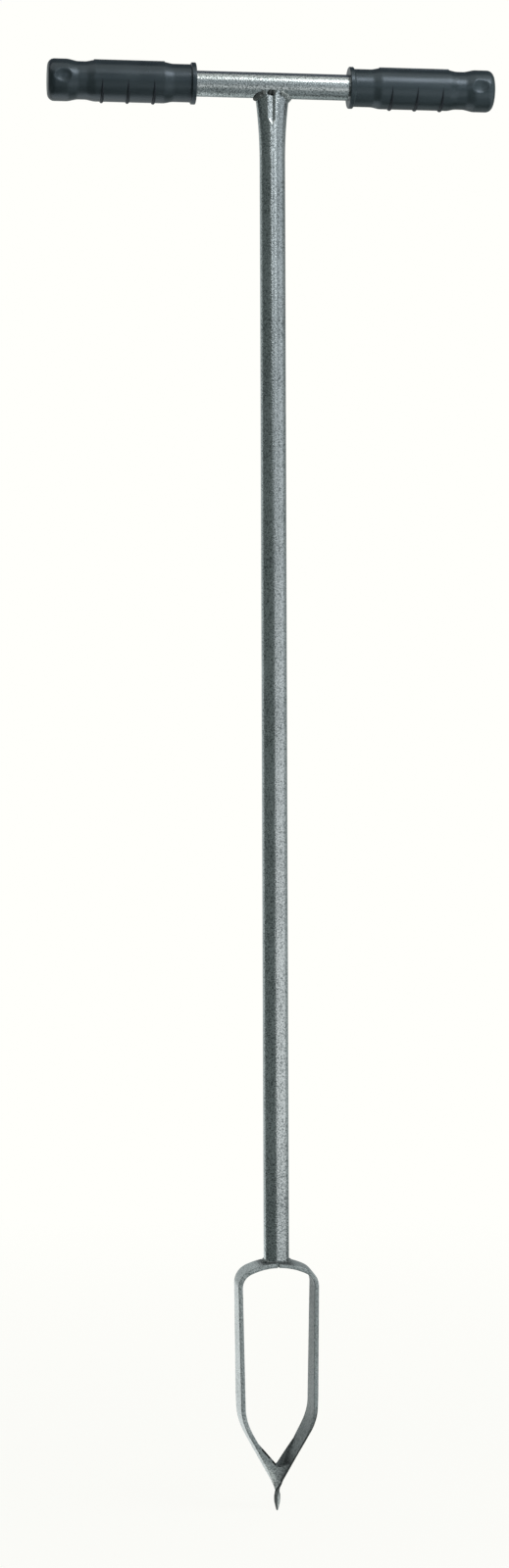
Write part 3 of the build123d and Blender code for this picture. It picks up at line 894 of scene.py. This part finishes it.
# %% Straight tube
SHAFT_SPOTS, SHAFT_CROWDING = 420, 3.0  # sections, set closer towards the top, where the shape changes
TUBE_SIDES = 216


def straight_tube(add, size):
    """A tube from the foot to the top, as a circle swept along a line."""
    foot = add("ShaderNodeCombineXYZ", {"Z": size["Foot"]})
    top = add("ShaderNodeCombineXYZ", {"Z": size["Top"]})
    line = add("GeometryNodeCurvePrimitiveLine", {"Start": foot, "End": top})
    line = add("GeometryNodeResampleCurve", {"Curve": line, "Count": SHAFT_SPOTS})
    along = add("GeometryNodeSplineParameter").outputs["Factor"]
    left = add("ShaderNodeMath", [1.0, along], operation="SUBTRACT")
    left = add("ShaderNodeMath", [left, SHAFT_CROWDING], operation="POWER")
    height = add("ShaderNodeMapRange", [left, 0.0, 1.0, size["Top"], size["Foot"]])
    closer = add("ShaderNodeCombineXYZ", {"Z": height})
    line = add("GeometryNodeSetPosition", {"Geometry": line, "Position": closer})
    rim = add("GeometryNodeCurvePrimitiveCircle", {"Resolution": TUBE_SIDES, "Radius": size["Radius"]})
    return add("GeometryNodeCurveToMesh", {"Curve": line, "Profile Curve": rim, "Fill Caps": True})


# %% Rule of the press
DENT_LEFT, DENT_DEEPEST, DENT_RIGHT = -4.8, -0.9, 1.7  # its edges and deepest line, across the front


def flared(add, size):
    """A point of the straight tube after the squeeze: wider along the handle, and less deep."""
    start = add("GeometryNodeInputPosition")
    rise = add("ShaderNodeSeparateXYZ", [start]).outputs["Z"]
    pressed = add("ShaderNodeMapRange", [rise, size["Flare foot"], size["Flare top"]])
    pressed = add("ShaderNodeMath", [pressed, pressed], operation="MULTIPLY")
    change = add("ShaderNodeCombineXYZ", {"X": size["Widening"], "Y": size["Narrowing"]})
    stretch = add("ShaderNodeVectorMath", [pressed, change, (1, 1, 1)], operation="MULTIPLY_ADD")
    place = add("ShaderNodeVectorMath", [start, stretch], operation="MULTIPLY")
    return add("ShaderNodeSeparateXYZ", [place]).outputs


def jaw_profile(add, across):
    """How deep the jaw of the press went, from 0 at the dent's edges to 1 on its deepest line."""
    jaw = add("ShaderNodeFloatCurve", {"Value": across})
    points = jaw.mapping.curves[0].points
    points.new((DENT_DEEPEST - DENT_LEFT) / (DENT_RIGHT - DENT_LEFT), 1.0)
    points[-1].location = (1.0, 0.0)
    for point in points:
        point.handle_type = "VECTOR"
    jaw.mapping.update()
    return jaw


def dented(add, size, front, front_x, deep, height):
    """The depth of a point after the jaw left its dent, at the front and the back alike."""
    across = add("ShaderNodeMapRange", [front_x, size["Dent left"], size["Dent right"]])
    jaw = jaw_profile(add, across)
    point = add("ShaderNodeMath", [jaw, size["Dent point"], height], operation="MULTIPLY_ADD")
    step = [point, size["Dent foot"], size["Dent top"]]
    above = add("ShaderNodeMapRange", step, interpolation_type="SMOOTHSTEP")
    dent = add("ShaderNodeMath", [jaw, size["Dent depth"]], operation="MULTIPLY")
    dent = add("ShaderNodeMath", [dent, above], operation="MULTIPLY")
    return add("ShaderNodeMath", [dent, front, deep], operation="MULTIPLY_ADD")


# %% Rule of the two cuts
def arc_height(add, radius, off):
    """Height of a round bar's side above its axis, this far off the axis."""
    room = add("ShaderNodeMath", [radius, radius], operation="MULTIPLY")
    off = add("ShaderNodeMath", [off, off], operation="MULTIPLY")
    room = add("ShaderNodeMath", [room, off], operation="SUBTRACT")
    return add("ShaderNodeMath", [room], operation="SQRT")


def under_handle(add, size, front_x, deep):
    """Height of the saddle under the handle, lower where the dent's lip stays clear of it."""
    off_lip = add("ShaderNodeMath", [front_x, size["Lip middle"]], operation="SUBTRACT")
    off_lip = add("ShaderNodeMath", [off_lip], operation="ABSOLUTE")
    ease = [off_lip, size["Lip end"], size["Lip half"]]
    lip = add("ShaderNodeMapRange", ease, interpolation_type="SMOOTHSTEP")
    bar_side = arc_height(add, size["Bar radius"], deep)
    below = add("ShaderNodeMath", [lip, size["Lip gap"], bar_side], operation="MULTIPLY_ADD")
    return add("ShaderNodeMath", [size["Bar height"], below], operation="SUBTRACT")


def pressed_place(add, size):
    """Where the press and the two cuts leave a point of the straight tube."""
    wide, deep, height = flared(add, size)
    front = add("ShaderNodeMath", [deep, -1.0], operation="MULTIPLY")
    front = add("ShaderNodeMath", [front], operation="SIGN")
    front_x = add("ShaderNodeMath", [wide, front], operation="MULTIPLY")
    deep = dented(add, size, front, front_x, deep, height)
    saddle = under_handle(add, size, front_x, deep)
    arch_side = arc_height(add, size["Roof radius"], wide)
    roof = add("ShaderNodeMath", [size["Roof height"], arch_side], operation="ADD")
    height = add("ShaderNodeMath", [height, saddle], operation="MINIMUM")
    height = add("ShaderNodeMath", [height, roof], operation="MAXIMUM")
    return add("ShaderNodeCombineXYZ", [wide, deep, height])


# %% Pressed shaft
bar_low, bar_high = box_mm("crossbar_tube")
TUBE_RADIUS = (bar_high.z - bar_low.z) / 2
BAR_HEIGHT = (bar_high.z + bar_low.z) / 2
SHAFT_SUNK, SHAFT_SHORT = 2.0, 6.0  # below the top of the head, and below the handle's axis
FLARE_WIDTH, FLARE_LENGTH, FLARE_SQUEEZE = 29.0, 66.0, 1.6
DENT_FOOT, DENT_STEP = 30.5, 1.4  # below the handle's axis, and the height of the short slope there
DENT_POINT = 5.0  # how much farther its deepest line runs down
DENT_DEPTH = 1.05
LIP_GAP = 3.6  # the dent's lip stays clear of the handle
LIP_MIDDLE, LIP_HALF, LIP_EASE = -1.4, 3.4, 1.5  # across the front

shaft_sizes = {
    "Radius": TUBE_RADIUS,
    "Foot": HEAD_HEIGHT - SHAFT_SUNK,
    "Top": BAR_HEIGHT - SHAFT_SHORT,
    "Bar height": BAR_HEIGHT,
    "Bar radius": TUBE_RADIUS,
    "Roof height": roof_height,
    "Roof radius": roof_radius,
    "Flare foot": BAR_HEIGHT - FLARE_LENGTH,
    "Flare top": BAR_HEIGHT - TUBE_RADIUS,
    "Dent left": DENT_LEFT,
    "Dent right": DENT_RIGHT,
    "Dent foot": BAR_HEIGHT - DENT_FOOT,
    "Dent top": BAR_HEIGHT - DENT_FOOT + DENT_STEP,
    "Dent point": DENT_POINT,
    "Dent depth": DENT_DEPTH,
    "Lip middle": LIP_MIDDLE,
    "Lip half": LIP_HALF,
    "Lip end": LIP_HALF + LIP_EASE,
    "Lip gap": LIP_GAP,
}
stretch = {
    "Widening": (FLARE_WIDTH / 2 - TUBE_RADIUS) / TUBE_RADIUS,
    "Narrowing": -FLARE_SQUEEZE / TUBE_RADIUS,
}
tree, add, size = new_tree("pressed_tube", shaft_sizes | stretch)
tube = straight_tube(add, size)
tube = add("GeometryNodeSetPosition", {"Geometry": tube, "Position": pressed_place(add, size)})
finish_tree(add, tube, size["Finish"])
shaft = run_tree("pressed_shaft", tree, shaft_sizes, stretch, tube_enamel)
shaft.data.set_sharp_from_angle(angle=radians(ROUND_CREASE))

# %% [markdown]
# ## Welds
# Under the handle two beads hold the shaft, one on each side, and a dark lump fills the gap that the
# dent leaves between them at the front, as painted shade in that gap. A thin bead runs round the
# shaft's foot. A bead is a row of puddles that froze one over the other, each a little different.
# Lumps could be shaped by hand, but Geometry Nodes do it for any seam: they set a ball on each step
# of the seam, shuffle its size with a fixed seed, melt the balls into one skin by way of a volume, and
# roughen that skin. Noise also says where the paint on a bead is darker, and how dark the lump is.

# %% Bead tree
PUDDLE_LEAST, PUDDLE_MOST = 0.7, 1.25  # by which a puddle's size is shuffled
PUDDLE_ROUNDS = 3  # subdivisions of a ball
MELT_THRESHOLD = 0.1
LUMP_SIZE, PATCH_SIZE = 2.6, 5.0
PATCH_FROM, PATCH_TO = 0.35, 0.65  # values of the noise between which the paint turns darker


def bead_tree():
    sizes = ["Step", "Puddle", "Voxel", "Rough", "Least bare", "Most bare"]
    tree, add, size = new_tree("weld_bead", sizes, Seam="Object", Seed="Int")
    seam = add("GeometryNodeObjectInfo", {"Object": size["Seam"]}, transform_space="ORIGINAL")
    spots = add(
        "GeometryNodeCurveToPoints",
        {"Curve": seam.outputs["Geometry"], "Length": size["Step"]}, mode="LENGTH",
    ).outputs
    ball = add("GeometryNodeMeshIcoSphere", {"Radius": size["Puddle"], "Subdivisions": PUDDLE_ROUNDS})
    shuffle = add(
        "FunctionNodeRandomValue",
        {0: [PUDDLE_LEAST] * 3, 1: [PUDDLE_MOST] * 3, "Seed": size["Seed"]}, data_type="FLOAT_VECTOR",
    )
    puddles = add(
        "GeometryNodeInstanceOnPoints",
        {"Points": spots["Points"], "Instance": ball, "Rotation": spots["Rotation"], "Scale": shuffle},
    )
    puddles = add("GeometryNodeRealizeInstances", {"Geometry": puddles})
    molten = add(
        "GeometryNodeMeshToVolume",
        {"Mesh": puddles, "Voxel Size": size["Voxel"], "Interior Band Width": size["Puddle"]},
        resolution_mode="VOXEL_SIZE",
    )
    bead = add(
        "GeometryNodeVolumeToMesh",
        {"Volume": molten, "Voxel Size": size["Voxel"], "Threshold": MELT_THRESHOLD},
        resolution_mode="VOXEL_SIZE",
    )
    lumps, patches = [
        add(
            "ShaderNodeTexNoise", {"Scale": per_metre(width), "Detail": 2.0, "W": size["Seed"]},
            noise_dimensions="4D",
        )
        for width in (LUMP_SIZE, PATCH_SIZE)
    ]
    swing = add("ShaderNodeMapRange", [lumps, 0.0, 1.0, -1.0, 1.0])
    swing = add("ShaderNodeMath", [swing, size["Rough"]], operation="MULTIPLY")
    outward = add("GeometryNodeInputNormal")
    push = add("ShaderNodeVectorMath", {0: outward, "Scale": swing}, operation="SCALE")
    bead = add("GeometryNodeSetPosition", {"Geometry": bead, "Offset": push})
    bare = [patches, PATCH_FROM, PATCH_TO, size["Least bare"], size["Most bare"]]
    mark = {"Geometry": bead, "Name": "bare", "Value": add("ShaderNodeMapRange", bare)}
    bead = add("GeometryNodeStoreNamedAttribute", mark, domain="POINT")
    finish_tree(add, bead, size["Finish"])
    return tree


# %% Seams
SADDLE_HALF, SADDLE_DROP = radians(56), 0.4  # how far a handle weld runs each way, and below the saddle
GAP_LEFT, GAP_RIGHT, GAP_INSET, GAP_DROP = -2.9, 0.0, 2.8, 0.4  # across the front, and in its depth
FOOT_OUT, FOOT_UP = 0.3, 0.3  # off the tube and above the arch
FILL_OUT, FILL_UP, FILL_HALF = 0.5, 1.6, 0.7  # the second run on each side, with its reach in radians
SADDLE_SPANS, GAP_SPANS, FOOT_SPANS, FILL_SPANS = 24, 4, 72, 10


def under_bar(y):
    """Height of the handle's underside, this far in front of its axis or behind."""
    return BAR_HEIGHT - sqrt(TUBE_RADIUS**2 - y**2)


def handle_seam(side):
    """Half of the saddle between the pressed tube and the handle, left (-1) or right (1)."""
    points = []
    for angle in steps(-SADDLE_HALF, SADDLE_HALF, SADDLE_SPANS):
        y = (TUBE_RADIUS - FLARE_SQUEEZE) * sin(angle)
        points.append((side * FLARE_WIDTH / 2 * cos(angle), y, under_bar(y) - SADDLE_DROP))
    return points


def gap_seam():
    """The gap that the dent leaves under the handle at the front, where a dark lump paints its shade."""
    deep = TUBE_RADIUS - GAP_INSET
    return [(x, -deep, under_bar(deep) - GAP_DROP) for x in steps(GAP_LEFT, GAP_RIGHT, GAP_SPANS)]


def on_arch(out, up, angle):
    """A point round the shaft's foot, this far off the tube and above the arch."""
    x, y = (TUBE_RADIUS + out) * cos(angle), (TUBE_RADIUS + out) * sin(angle)
    return (x, y, roof_height + sqrt(roof_radius**2 - x**2) + up)


def foot_seam():
    """Once round the shaft's foot, and then a second run on the right and the left, where the arch falls."""
    points = [on_arch(FOOT_OUT, FOOT_UP, angle) for angle in steps(0, 2 * pi, FOOT_SPANS)]
    for middle in (0, pi):
        run = steps(middle - FILL_HALF, middle + FILL_HALF, FILL_SPANS)
        points += [on_arch(FILL_OUT, FILL_UP, angle) for angle in run]
    return points


def seam_curve(name, points_mm):
    """A hidden line that a bead follows; it is removed once the bead is made."""
    line = bpy.data.curves.new(name, "CURVE")
    line.dimensions = "3D"
    spline = line.splines.new("POLY")
    spline.points.add(len(points_mm) - 1)
    for spot, point in zip(spline.points, points_mm):
        spot.co = (*(Vector(point) * MM), 1.0)
    seam = bpy.data.objects.new(name, line)
    scene.collection.objects.link(seam)
    return seam


# %% Four welds
BAR_STEP, BAR_PUDDLE = 2.0, 2.7
GAP_STEP, GAP_PUDDLE = 1.2, 2.2
FOOT_STEP, FOOT_PUDDLE = 1.3, 1.15
BEAD_VOXEL, BEAD_ROUGH = 0.35, 0.5
beads = bead_tree()


def weld(name, seam_points, step, puddle, bare, seed):
    """A bead along a seam, painted, and darker between the two shares that are given; the lump in the gap is
    dark as painted shade.
    """
    seam = seam_curve(name + "_seam", seam_points)
    sizes = {"Step": step, "Puddle": puddle, "Voxel": BEAD_VOXEL, "Rough": BEAD_ROUGH}
    others = {"Seam": seam, "Least bare": bare[0], "Most bare": bare[1], "Seed": seed}
    bead = run_tree(name, beads, sizes, others, weld_enamel)
    bpy.data.objects.remove(seam)
    return bead


left_weld = weld("left_handle_weld", handle_seam(-1), BAR_STEP, BAR_PUDDLE, bare=(0.55, 0.8), seed=3)
right_weld = weld("right_handle_weld", handle_seam(1), BAR_STEP, BAR_PUDDLE, bare=(0.0, 0.25), seed=8)
# a dark lump in the gap under the handle: painted shade
gap_shade_lump = weld("front_gap_slag", gap_seam(), GAP_STEP, GAP_PUDDLE, bare=(0.8, 1.0), seed=4)
foot_weld = weld("shaft_foot_weld", foot_seam(), FOOT_STEP, FOOT_PUDDLE, bare=(0.0, 0.5), seed=5)

# %% [markdown]
# ## Grips
# The grips are rubber sleeves with a closed end, pushed on to the handle. Along its length a grip has
# a thin flange, a barrel, a hand swell and a bulb, all round. A screw modifier could spin such a
# profile about the handle, but the bulb also has a shallow thumb dimple at the front and the back, so
# the rings are worked out here and those of the bulb pressed in before they are skinned.

# %% Grip profile
grip_low, grip_high = box_mm("right_grip")
FLANGE_PLACE = grip_low.x
GRIP_LENGTH = grip_high.x - grip_low.x
GRIP_SLACK, GRIP_WALL, GRIP_END = 0.05, 5.0, 6.5  # round the handle, and the rubber's thickness
BORE = TUBE_RADIUS + GRIP_SLACK
BORE_DEPTH = GRIP_LENGTH - GRIP_END
BARREL = BORE + GRIP_WALL
FLANGE = BARREL + 1.7
SWELL = BARREL + 1.4
BULB = BARREL + 1.8
FLANGE_BACK, FLANGE_FOOT = 3.8, 4.6  # places along the grip, from the flange's face
SWELL_START, SWELL_END, SWELL_RAMP = 27.0, 87.5, 6.5
BULB_START, BULB_RAMP = 102.0, 8.0
RAMP_ROUND, END_ROUND, EDGE_ROUND = 16.0, 6.0, 0.8
AXIS_GAP = 0.4  # the profile stops short of the axis, and a small face closes it
PROFILE_STEP, ARC_STEPS = 0.9, 8


def rounded_profile(corners):
    """A line through corners with true arcs of each corner's radius, and points close together."""
    line = [Vector(corners[0][0])]
    for place in range(1, len(corners) - 1):
        here, radius = Vector(corners[place][0]), corners[place][1]
        before = (Vector(corners[place - 1][0]) - here).normalized()
        after = (Vector(corners[place + 1][0]) - here).normalized()
        half = before.angle(after) / 2
        cut = radius / tan(half)
        centre = here + (before + after).normalized() * (radius / sin(half))
        start, end = here + before * cut - centre, here + after * cut - centre
        swing = degrees(start.angle_signed(end))
        for turn in steps(0, -swing, ARC_STEPS):
            line.append(centre + Vector(turned(*start, 0, turn)[:2]))
    line.append(Vector(corners[-1][0]))
    fine = [line[0]]
    for point in line[1:]:
        spans = max(1, round((point - fine[-1]).length / PROFILE_STEP))
        fine += [fine[-1].lerp(point, share) for share in steps(0, 1, spans)[1:]]
    return fine


grip_corners = [
    ((0, BORE), 0),
    ((0, FLANGE), EDGE_ROUND),
    ((FLANGE_BACK, FLANGE), EDGE_ROUND),
    ((FLANGE_FOOT, BARREL), EDGE_ROUND),
    ((SWELL_START - SWELL_RAMP, BARREL), RAMP_ROUND),
    ((SWELL_START, SWELL), RAMP_ROUND),
    ((SWELL_END, SWELL), RAMP_ROUND),
    ((SWELL_END + SWELL_RAMP, BARREL), RAMP_ROUND),
    ((BULB_START, BARREL), RAMP_ROUND),
    ((BULB_START + BULB_RAMP, BULB), RAMP_ROUND),
    ((GRIP_LENGTH, BULB), END_ROUND),
    ((GRIP_LENGTH, AXIS_GAP), 0),
]
outside = rounded_profile(grip_corners)
print("grip:", round(GRIP_LENGTH), "mm long,", len(outside), "points along its outside")

# %% Grip bodies
DIMPLE_RADIUS, DIMPLE_DEPTH = 20.0, 1.8
DIMPLE_PLACE = 14.0  # from the closed end
ROUND_STEPS = 96
SIDES = {"left": -1, "right": 1}


def pressed_in(x, y, z):
    """Moves a point of the bulb on to the ball that pressed the dimple, at the front and the back."""
    room = DIMPLE_RADIUS**2 - (x - GRIP_LENGTH + DIMPLE_PLACE) ** 2 - z**2
    if room <= 0:
        return (x, y, z)
    limit = BULB - DIMPLE_DEPTH + DIMPLE_RADIUS - sqrt(room)
    return (x, max(-limit, min(limit, y)), z)


def grip_rings():
    """Rings from the bottom of the bore, over the flange, to the closed end."""
    rings = []
    for x, radius in [(BORE_DEPTH, AXIS_GAP), (BORE_DEPTH, BORE), *outside]:
        angles = [2 * pi * spot / ROUND_STEPS for spot in range(ROUND_STEPS)]
        ring = [(x, radius * sin(angle), radius * cos(angle)) for angle in angles]
        on_bulb = radius > BORE and x > BULB_START
        rings.append([pressed_in(*point) for point in ring] if on_bulb else ring)
    return rings


def on_handle(points, side):
    """Points of a grip, measured from its flange, set on the right (1) or left (-1) of the handle."""
    return [(side * (FLANGE_PLACE + x), side * y, BAR_HEIGHT + z) for x, y, z in points]


points, faces = skin_rings(grip_rings())
grips = {}
for label, side in SIDES.items():
    body = piece_from(label + "_grip_body", on_handle(points, side), faces, grip_rubber, ROUND_CREASE)
    grips[label] = [body]

# %% [markdown]
# ## Ribs on the grips
# Three raised ribs run round the lower half of each swell to part the fingers, and a pad of fine ribs
# lies along its top for the palm. Both repeat, so each has a small tree: an arc whose tube thins out
# at its ends, set in a row along the grip, and a thin rod, set side by side round the top.

# %% Finger ribs
RIB_SIDES, RIB_ARC_STEPS = 16, 64
ALONG_HANDLE = (pi / 2, 0, pi / 2)  # turns an arc from lying flat to standing round the handle
FINGER_RIBS, FINGER_RIB_START, FINGER_RIB_PITCH = 3, 36.5, 22.2
FINGER_RIB_HALF, FINGER_RIB_RISE, FINGER_RIB_EASE = 1.5, 1.3, 0.8


def finger_rib_tree():
    sizes = ["Radius", "Thickness", "Pitch", "First", "Height"]
    tree, add, size = new_tree("finger_ribs", sizes, Count="Int")
    arc = add(
        "GeometryNodeCurveArc",
        {"Resolution": RIB_ARC_STEPS, "Radius": size["Radius"], "Start Angle": pi, "Sweep Angle": pi},
    )
    swell = add("GeometryNodeSplineParameter").outputs["Factor"]
    swell = add("ShaderNodeMath", [swell, pi], operation="MULTIPLY")
    swell = add("ShaderNodeMath", [swell], operation="SINE")
    swell = add("ShaderNodeMath", [swell, FINGER_RIB_EASE], operation="POWER")
    rim = add("GeometryNodeCurvePrimitiveCircle", {"Resolution": RIB_SIDES, "Radius": size["Thickness"]})
    rib = add(
        "GeometryNodeCurveToMesh", {"Curve": arc, "Profile Curve": rim, "Scale": swell, "Fill Caps": True}
    )
    rib = add("GeometryNodeTransform", {"Geometry": rib, "Rotation": ALONG_HANDLE})
    start = add("ShaderNodeCombineXYZ", {"X": size["First"], "Z": size["Height"]})
    stride = add("ShaderNodeCombineXYZ", {"X": size["Pitch"]})
    row = add("GeometryNodeMeshLine", {"Count": size["Count"], "Start Location": start, "Offset": stride})
    row = add("GeometryNodeInstanceOnPoints", {"Points": row, "Instance": rib})
    finish_tree(add, row, size["Finish"])
    return tree


finger_ribs = finger_rib_tree()
for label, side in SIDES.items():
    sizes = {
        "Radius": SWELL + FINGER_RIB_RISE - FINGER_RIB_HALF,
        "Thickness": FINGER_RIB_HALF,
        "Pitch": side * FINGER_RIB_PITCH,
        "First": side * (FLANGE_PLACE + FINGER_RIB_START),
        "Height": BAR_HEIGHT,
    }
    ribs = run_tree(label + "_finger_ribs", finger_ribs, sizes, {"Count": FINGER_RIBS}, rib_shade_rubber)
    grips[label].append(ribs)

# %% Palm ribs
PALM_RIBS, PALM_RIB_PITCH, PALM_RIB_RADIUS, PALM_RIB_RISE = 7, 2.6, 0.9, 0.6
PALM_RIB_SPOTS = 24


def palm_rib_tree():
    sizes = ["Start", "End", "Radius", "Thickness", "Spread", "Height"]
    tree, add, size = new_tree("palm_ribs", sizes, Count="Int")
    start = add("ShaderNodeCombineXYZ", {"X": size["Start"]})
    end = add("ShaderNodeCombineXYZ", {"X": size["End"]})
    rod = add("GeometryNodeCurvePrimitiveLine", {"Start": start, "End": end})
    rod = add("GeometryNodeResampleCurve", {"Curve": rod, "Count": PALM_RIB_SPOTS})
    rim = add("GeometryNodeCurvePrimitiveCircle", {"Resolution": RIB_SIDES, "Radius": size["Thickness"]})
    rod = add("GeometryNodeCurveToMesh", {"Curve": rod, "Profile Curve": rim, "Fill Caps": True})
    first = add("ShaderNodeMath", [size["Spread"], -0.5, pi / 2], operation="MULTIPLY_ADD")
    arc = add(
        "GeometryNodeCurveArc",
        {"Resolution": RIB_ARC_STEPS, "Radius": size["Radius"], "Start Angle": first,
         "Sweep Angle": size["Spread"]},
    )
    spots = add("GeometryNodeCurveToPoints", {"Curve": arc, "Count": size["Count"]})
    upright = add("GeometryNodeTransform", {"Geometry": spots, "Rotation": ALONG_HANDLE})
    row = add("GeometryNodeInstanceOnPoints", {"Points": upright, "Instance": rod})
    lift = add("ShaderNodeCombineXYZ", {"Z": size["Height"]})
    row = add("GeometryNodeTransform", {"Geometry": row, "Translation": lift})
    finish_tree(add, row, size["Finish"])
    return tree


palm_ribs = palm_rib_tree()
palm_row = {"Count": PALM_RIBS, "Spread": 2 * atan2((PALM_RIBS - 1) / 2 * PALM_RIB_PITCH, SWELL)}
for label, side in SIDES.items():
    sizes = {
        "Start": side * (FLANGE_PLACE + SWELL_START),
        "End": side * (FLANGE_PLACE + SWELL_END),
        "Radius": SWELL + PALM_RIB_RISE - PALM_RIB_RADIUS,
        "Thickness": PALM_RIB_RADIUS,
        "Height": BAR_HEIGHT,
    }
    ribs = run_tree(label + "_palm_ribs", palm_ribs, sizes, palm_row, grip_rubber)
    grips[label].append(ribs)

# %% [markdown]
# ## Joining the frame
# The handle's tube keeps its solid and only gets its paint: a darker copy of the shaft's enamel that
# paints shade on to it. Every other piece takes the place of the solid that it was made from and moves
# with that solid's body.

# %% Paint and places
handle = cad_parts["crossbar_tube"]
handle.data.materials.clear()
handle.data.materials.append(shaded_bar_enamel)

welded = [
    (shaft, "tube_enamel", "shaft_tube"),
    (left_weld, "weld_enamel", "crossbar_welds"),
    (right_weld, "weld_enamel", "crossbar_welds"),
    (gap_shade_lump, "weld_enamel", "crossbar_welds"),
    (foot_weld, "weld_enamel", "foot_weld"),
    (left_blade, "blade_enamel", "left_blade"),
    (right_blade, "blade_enamel", "right_blade"),
    (throat, "blade_enamel", "throat_plate"),
    (lead, "blade_enamel", "lead_point"),
]
for piece, slot, node in welded:
    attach(piece, "frame")
    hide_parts(node)
for label, pieces in grips.items():
    for piece in pieces:
        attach(piece, label + "_hand_grip")
    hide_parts(label + "_grip")
print(len(welded), "pieces on the frame and", len(grips["left"]), "on each grip")
